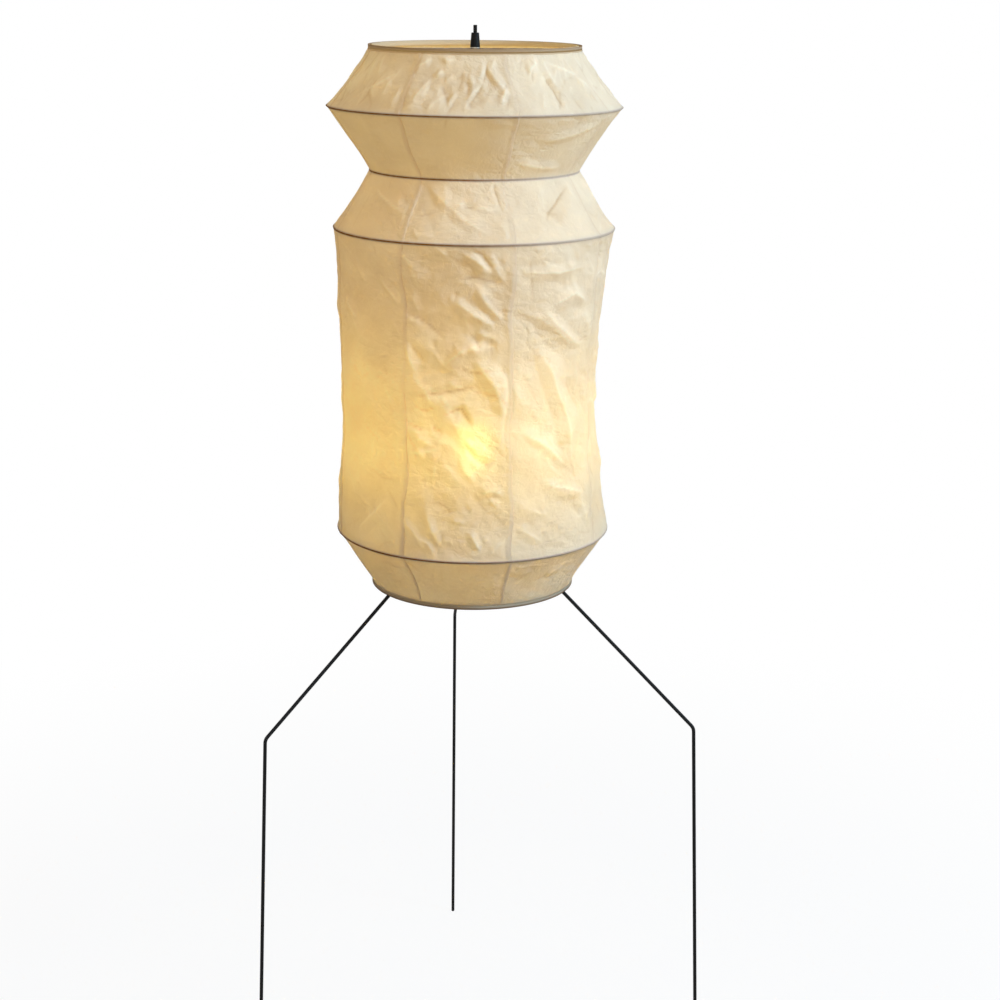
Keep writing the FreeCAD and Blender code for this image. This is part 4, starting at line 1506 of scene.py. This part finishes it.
        middle = math.radians(self.middle_of(number))
        table = np.array(self.crumple)[:, number - 1]
        strength = table[np.clip(np.rint(band).astype(int) - 1, 0, 4)]
        near_hoop = smooth_step(to_hoop, 0.0, self.hoop_hold)
        seam_gap = np.minimum(across, np.abs(1 - across)) * self.map_radius * math.pi / 4
        in_gore = smooth_step(seam_gap, 0.0, self.seam_hold) * (across < 1)
        push = np.zeros_like(u)
        for facets in self.scales:
            own = replace(facets, seed=facets.seed * 100 + number)
            push += own.heights(u, z)
        push *= strength * in_gore * near_hoop
        turned = azimuth + 2 * math.pi * (azimuth < middle - math.pi)
        turned = turned - 2 * math.pi * (turned > middle + math.pi)
        crease = np.zeros_like(u)
        for fold in self.creases(number):
            out, painted_crease_light = fold.press(turned * self.map_radius, z, self.map_radius)
            push += out * in_gore * near_hoop
            crease += painted_crease_light * in_gore * near_hoop
        push += self.slack(azimuth, z, band, down) * near_hoop
        # relief is the crumple's height, 0 to 1; the paper's shader paints shade in its low places
        relief = np.clip(0.5 + push / self.relief_range, 0, 1)

        at_end = ((band < 1.5) & (down < 0.5)) | ((band > 4.5) & (down > 0.5))
        welt = np.exp(-((to_hoop / self.welt_width) ** 2)) * self.welt * ~at_end
        sway = np.sin(31 * z + 3 * azimuth) + 0.7 * np.sin(67 * z + 5 * azimuth + 1.0)
        drift = near_hoop * self.drift * sway  # the seams wander a little sideways
        write_places(mesh, points + outward * (push + welt)[:, None] + sideways * drift[:, None])
        write_points(mesh, "relief", relief)
        write_points(mesh, "hoop_line", self.line_share(azimuth, to_hoop) * ~at_end)
        # the creases' painted light: 1 for a painted highlight on a ridge, -1 for painted shade in a
        # valley
        write_points(mesh, "crease", np.clip(crease, -1, 1))

    def line_share(self, azimuth: np.ndarray, to_hoop: np.ndarray) -> np.ndarray:
        """How dark the paper is over a hoop: a fine line, partly the hoop seen through the paper
        and partly painted shade, fainter towards the lit right side.

        Args:
            azimuth: in radians.
            to_hoop: how far the nearest hoop is, in metres.

        Returns:
            The share of the line in the colour, 0 to 1.
        """
        full = np.clip(self.line_core * np.exp(-((to_hoop / self.line_width) ** 2)), 0, 1)
        # painted shade: the line is fullest on the left, away from the key lamp, and fainter on the lit
        # right
        left = smooth_step(-azimuth, *self.line_fade)
        return full * (self.line_on_lit_side + (1 - self.line_on_lit_side) * left)

    def middle_of(self, number: int) -> float:
        """Azimuth of a gore's middle, from -180 to 180 degrees."""
        middle = self.first_seam + (number - 0.5) * 360 / self.gores
        return middle - 360 if middle > 180 else middle

    def creases(self, number: int) -> list[Fold]:
        """Every crease of one gore: the photograph's, then chance ones band by band.

        Args:
            number: the gore's number.

        Returns:
            The creases.
        """
        rng = np.random.default_rng(self.crease_seed + number)
        step = 360 / self.gores
        middle = self.middle_of(number)
        made = [fold for fold in self.folds if abs(fold.points[0][0] - middle) < self.fold_reach * step]
        spans = zip(self.creasings, self.crumple, self.heights, self.heights[1:])
        for creasing, strengths, high, low in spans:
            share = strengths[number - 1]
            chance = creasing.folds(rng, middle, step / 2, low, high, self.map_radius)
            made += [Fold(fold.points, fold.depth * share, fold.left, fold.right) for fold in chance]
        return made

    def slack(
        self, azimuth: np.ndarray, height: np.ndarray, band: np.ndarray, down: np.ndarray
    ) -> np.ndarray:
        """Soft unevenness that runs on across the seams.

        Args:
            azimuth: in radians.
            height: in metres.
            band: each point's band, 1 to 5.
            down: how far down its band it lies, 0 to 1.

        Returns:
            How far the paper stands out.
        """
        waves = np.zeros_like(azimuth)
        for swell, turns, rises, start in self.waves:
            waves += swell * np.sin(turns * azimuth + rises * height + start)
        bow = 4 * down * (1 - down) * (np.rint(band) == 4)
        for draw in self.draws:
            off = (np.degrees(azimuth) - draw.azimuth + 180) % 360 - 180
            waves = waves - draw.depth * bow * np.exp(-((off / draw.spread) ** 2))
        return waves

    def binding(self, name: str, body: Body, upright: bool) -> None:
        """The paper strip folded over one end ring.

        Args:
            name: the piece's name.
            body: what it rides on.
            upright: True where the fold is on top.
        """
        ring, side = (0, 1.0) if upright else (-1, -1.0)
        centre = self.heights[ring] - side * self.ring_half
        sizes = {
            "Ring Radius": self.radii[ring] - self.ring_inset,
            "Height": centre,
            "Axis Y": AXIS_Y,
            "Wrap": self.binding_wrap,
            "Drop": side * self.binding_drop,
        }
        piece = self.binding_tree.grow(name, sizes, BINDING)
        self.drape(piece.data, centre, upright)
        self.notch(piece.data, upright)
        thicken(piece, self.binding_paper, 0.0)
        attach(piece, body.value)
        log.info("%s: %d faces", name, len(piece.data.polygons))

    def drape(self, mesh: bpy.types.Mesh, centre: float, upright: bool) -> None:
        """Leans a binding's outer flap along the gores, and marks its fold's dark edge.

        Args:
            mesh: the binding.
            centre: height at which its flaps start.
            upright: True where the fold is on top.
        """
        end, inner = (0, 1) if upright else (-1, -2)
        spread = self.radii[inner] - self.radii[end]
        lean = abs(spread / (self.heights[inner] - self.heights[end]))
        points = read_places(mesh)
        beyond = (points[:, 2] - centre) * (1 if upright else -1)
        reach = np.hypot(points[:, 0], points[:, 1] - AXIS_Y)
        outer = reach > self.radii[end] - self.ring_inset
        grown = 1 + lean * np.maximum(-beyond, 0) * outer / reach
        points[:, 0] *= grown
        points[:, 1] = AXIS_Y + (points[:, 1] - AXIS_Y) * grown
        write_places(mesh, points)
        edge = smooth_step(beyond, *self.binding_edge)
        write_points(mesh, "hoop_line", self.binding_line * edge * outer)
        write_points(mesh, "relief", np.full(len(reach), self.binding_relief))

    def notch(self, mesh: bpy.types.Mesh, upright: bool) -> None:
        """Cuts a binding away where the cross wire or a leg goes through it.

        Args:
            mesh: the binding.
            upright: True for the top one, which the cross wire goes through.
        """
        above, beyond = self.notch_margin
        if upright:
            places, half = self.wire_ends, self.wire_notch
            within, under = self.radii[0] - self.ring_inset, self.heights[0] + above
        else:
            places, half = self.leg_azimuths, self.leg_notch
            within, under = self.radii[-1] + beyond, math.inf
        cutter = bmesh.new()
        cutter.from_mesh(mesh)
        doomed = []
        for face in cutter.faces:
            spot = face.calc_center_median()
            reach = math.hypot(spot.x, spot.y - AXIS_Y)
            azimuth = math.atan2(spot.x, AXIS_Y - spot.y)
            gaps = [math.remainder(azimuth - math.radians(place), 2 * math.pi) for place in places]
            near = min(abs(gap) for gap in gaps) * reach < half
            if near and reach < within and spot.z < under:
                doomed.append(face)
        bmesh.ops.delete(cutter, geom=doomed, context="FACES")
        cutter.to_mesh(mesh)
        cutter.free()


@dataclass
class Stand:
    """Three bent rods in a hub, with the stretcher that carries the lantern."""

    sides: tuple[str, ...] = ("left", "right", "rear")
    stud_radius: float = 0.003
    stud_bottom: float = 1.7745
    stud_top: float = 1.7855
    thread_pitch: float = 0.001
    thread_ridge: float = 0.00035
    thread_sunk: float = 0.0001
    thread_tree: Recipe = field(default_factory=screw_thread)

    def build(self) -> None:
        """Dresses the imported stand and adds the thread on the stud's end."""
        legs, screws = ([f"{kind}_{side}" for side in self.sides] for kind in ("leg", "thumbscrew"))
        dress((*legs, "hub", "saddle", "stretcher_wire_left", "stretcher_wire_right"), BLACK)
        dress(("stretcher_head", "top_nut"), BLACK)
        dress(("stem", "lock_washer", "lock_nut", *screws), ZINC)
        dress(("inlet_bush",), PLASTIC)
        sizes = {
            "Radius": self.stud_radius - self.thread_sunk,
            "Pitch": self.thread_pitch,
            "Length": self.stud_top - self.stud_bottom,
            "Bottom": self.stud_bottom,
            "Axis Y": AXIS_Y,
            "Ridge": self.thread_ridge,
        }
        thread = self.thread_tree.grow("stud_thread", sizes, BLACK)
        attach(thread, Body.BASE.value)
        log.info("stud_thread: %d faces", len(thread.data.polygons))


@dataclass
class BulbHolder:
    """The holder on the saddle and the bulb in it."""

    shell_radius: float = 0.0195
    ribs_bottom: float = 1.0245
    ribs_length: float = 0.0185
    ribs: int = 40
    rib_tree: Recipe = field(default_factory=grip_ribs)

    def build(self) -> None:
        """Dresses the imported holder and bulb, and adds the grip round the shell."""
        dress(("holder_base", "holder_shell"), PLASTIC)
        dress(("holder_core",), PORCELAIN)
        dress(("screw_shell", "centre_contact"), BRASS)
        dress(("bulb_cap", "bulb_tip"), NICKEL)
        dress(("bulb_glass",), LIT_GLASS)
        dress(("light_board",), LIGHT_BOARD)
        sizes = {
            "Shell Radius": self.shell_radius,
            "Bottom": self.ribs_bottom,
            "Length": self.ribs_length,
            "Count": self.ribs,
            "Axis Y": AXIS_Y,
        }
        ribs = self.rib_tree.grow("holder_grip", sizes, PLASTIC)
        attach(ribs, Body.BASE.value)
        log.info("holder_grip: %d faces", len(ribs.data.polygons))


# ---- studio ----------------------------------------------------------------------


@dataclass(frozen=True)
class SoftBox:
    """One soft lamp: where it stands, what it points at, its size and power."""

    name: str
    place: tuple[float, float, float]
    target: tuple[float, float, float]
    side: float
    power: float
    colour: Colour = (1.0, 1.0, 1.0)

    def build(self) -> None:
        """Puts the lamp in the scene."""
        data = bpy.data.lights.new(self.name, "AREA")
        data.shape = "SQUARE"
        data.size = self.side
        data.energy = self.power
        data.color = self.colour
        lamp = bpy.data.objects.new(self.name, data)
        lamp.location = self.place
        beam = Vector(self.target) - Vector(self.place)
        lamp.rotation_euler = beam.to_track_quat("-Z", "Y").to_euler()
        bpy.context.scene.collection.objects.link(lamp)


@dataclass(frozen=True)
class StudioWhite(Finish):
    """A pale floor that reads as white and keeps a soft shadow round the feet."""

    paint: Colour = (0.80, 0.80, 0.80)
    unseen_paint: Colour = (0.33, 0.29, 0.24)
    own_light: float = 0.92
    shadow_reach: float = 2.2

    def shade(self, sketch: Sketch) -> Socket:
        """Paint seen as white: wholly far out, and less at the feet, to keep their shadow.

        Args:
            sketch: the tree it is drawn in.

        Returns:
            The shader's socket.
        """
        seen = sketch.looked_at()
        colour = sketch.blend(seen, self.unseen_paint, self.paint)
        paint = sketch.add("ShaderNodeBsdfDiffuse", {"Color": colour})
        white = sketch.add("ShaderNodeEmission", {"Color": (1, 1, 1), "Strength": 1.0})
        away = sketch.add("ShaderNodeVectorMath", {0: self.here(sketch)}, operation="LENGTH")
        reach = away.outputs["Value"]
        own = sketch.remap(reach, 0.5, self.shadow_reach, self.own_light, 1.0, smooth=True)
        share = sketch.product(seen, own)
        return sketch.add("ShaderNodeMixShader", {0: share, 1: paint, 2: white}).outputs[0]


@dataclass
class Studio:
    """Floor, world, lamps and the camera at the photograph's angle."""

    camera_reach: float = 3.266
    camera_height: float = 1.896
    camera_azimuth: float = -4.7
    pitch: float = 15.40
    yaw: float = 0.82
    roll: float = 0.53
    focal: float = 1.982
    sensor: float = 36.0
    floor_radius: float = 60.0
    floor_corners: int = 64
    ambient: float = 0.245
    boxes: tuple[SoftBox, ...] = (
        SoftBox("key_right", (2.8, -1.6, 3.0), (0.0, -0.1, 1.3), 0.8, 144.0, (0.47, 0.73, 1.0)),
        SoftBox("fill_front", (-0.6, -3.6, 3.0), (0.0, -0.1, 1.2), 1.6, 26.0),
    )

    def build(self) -> None:
        """Builds the studio."""
        self.floor()
        self.world()
        for box in self.boxes:
            box.build()
        self.camera()
        settings = bpy.context.scene.view_settings
        settings.view_transform = "Standard"

    def floor(self) -> None:
        """A wide round floor at the lamp's feet."""
        count, reach = self.floor_corners, self.floor_radius
        turns = [2 * math.pi * i / count for i in range(count)]
        ring = [(reach * math.cos(turn), reach * math.sin(turn), 0.0) for turn in turns]
        mesh = bpy.data.meshes.new("floor")
        mesh.from_pydata(ring, [], [list(range(count))])
        floor = bpy.data.objects.new("floor", mesh)
        mesh.materials.append(StudioWhite("studio_white").material())
        bpy.context.scene.collection.objects.link(floor)

    def world(self) -> None:
        """A soft even surround, seen as white."""
        world = bpy.data.worlds.new("studio")
        world.use_nodes = True
        world.node_tree.nodes.clear()
        sketch = Sketch(world.node_tree)
        strength = sketch.remap(sketch.looked_at(), 0.0, 1.0, self.ambient, 1.0)
        light = sketch.add("ShaderNodeBackground", {"Color": (1, 1, 1), "Strength": strength})
        sketch.add("ShaderNodeOutputWorld", {"Surface": light})
        bpy.context.scene.world = world

    def camera(self) -> None:
        """The camera that took the photograph, worked out from its hoops and legs."""
        data = bpy.data.cameras.new("photograph")
        data.sensor_width = self.sensor
        data.lens = self.focal * self.sensor
        camera = bpy.data.objects.new("photograph", data)
        turn = math.radians(self.camera_azimuth)
        side, ahead = self.camera_reach * math.sin(turn), self.camera_reach * math.cos(turn)
        place = Vector((side, AXIS_Y - ahead, self.camera_height))
        heading = Matrix.Rotation(turn - math.radians(self.yaw), 4, "Z")
        tilt = Matrix.Rotation(math.radians(90 - self.pitch), 4, "X")
        level = Matrix.Rotation(math.radians(self.roll), 4, "Z")
        camera.matrix_world = Matrix.Translation(place) @ heading @ tilt @ level
        bpy.context.scene.collection.objects.link(camera)
        bpy.context.scene.camera = camera


def main() -> None:
    """Builds the studio and the lamp, in the order in which a maker would assemble it."""
    logging.basicConfig(level=logging.INFO, format="%(name)s %(message)s")
    Studio().build()
    Stand().build()
    BulbHolder().build()
    Lantern().build()


if __name__ == "__main__":
    main()
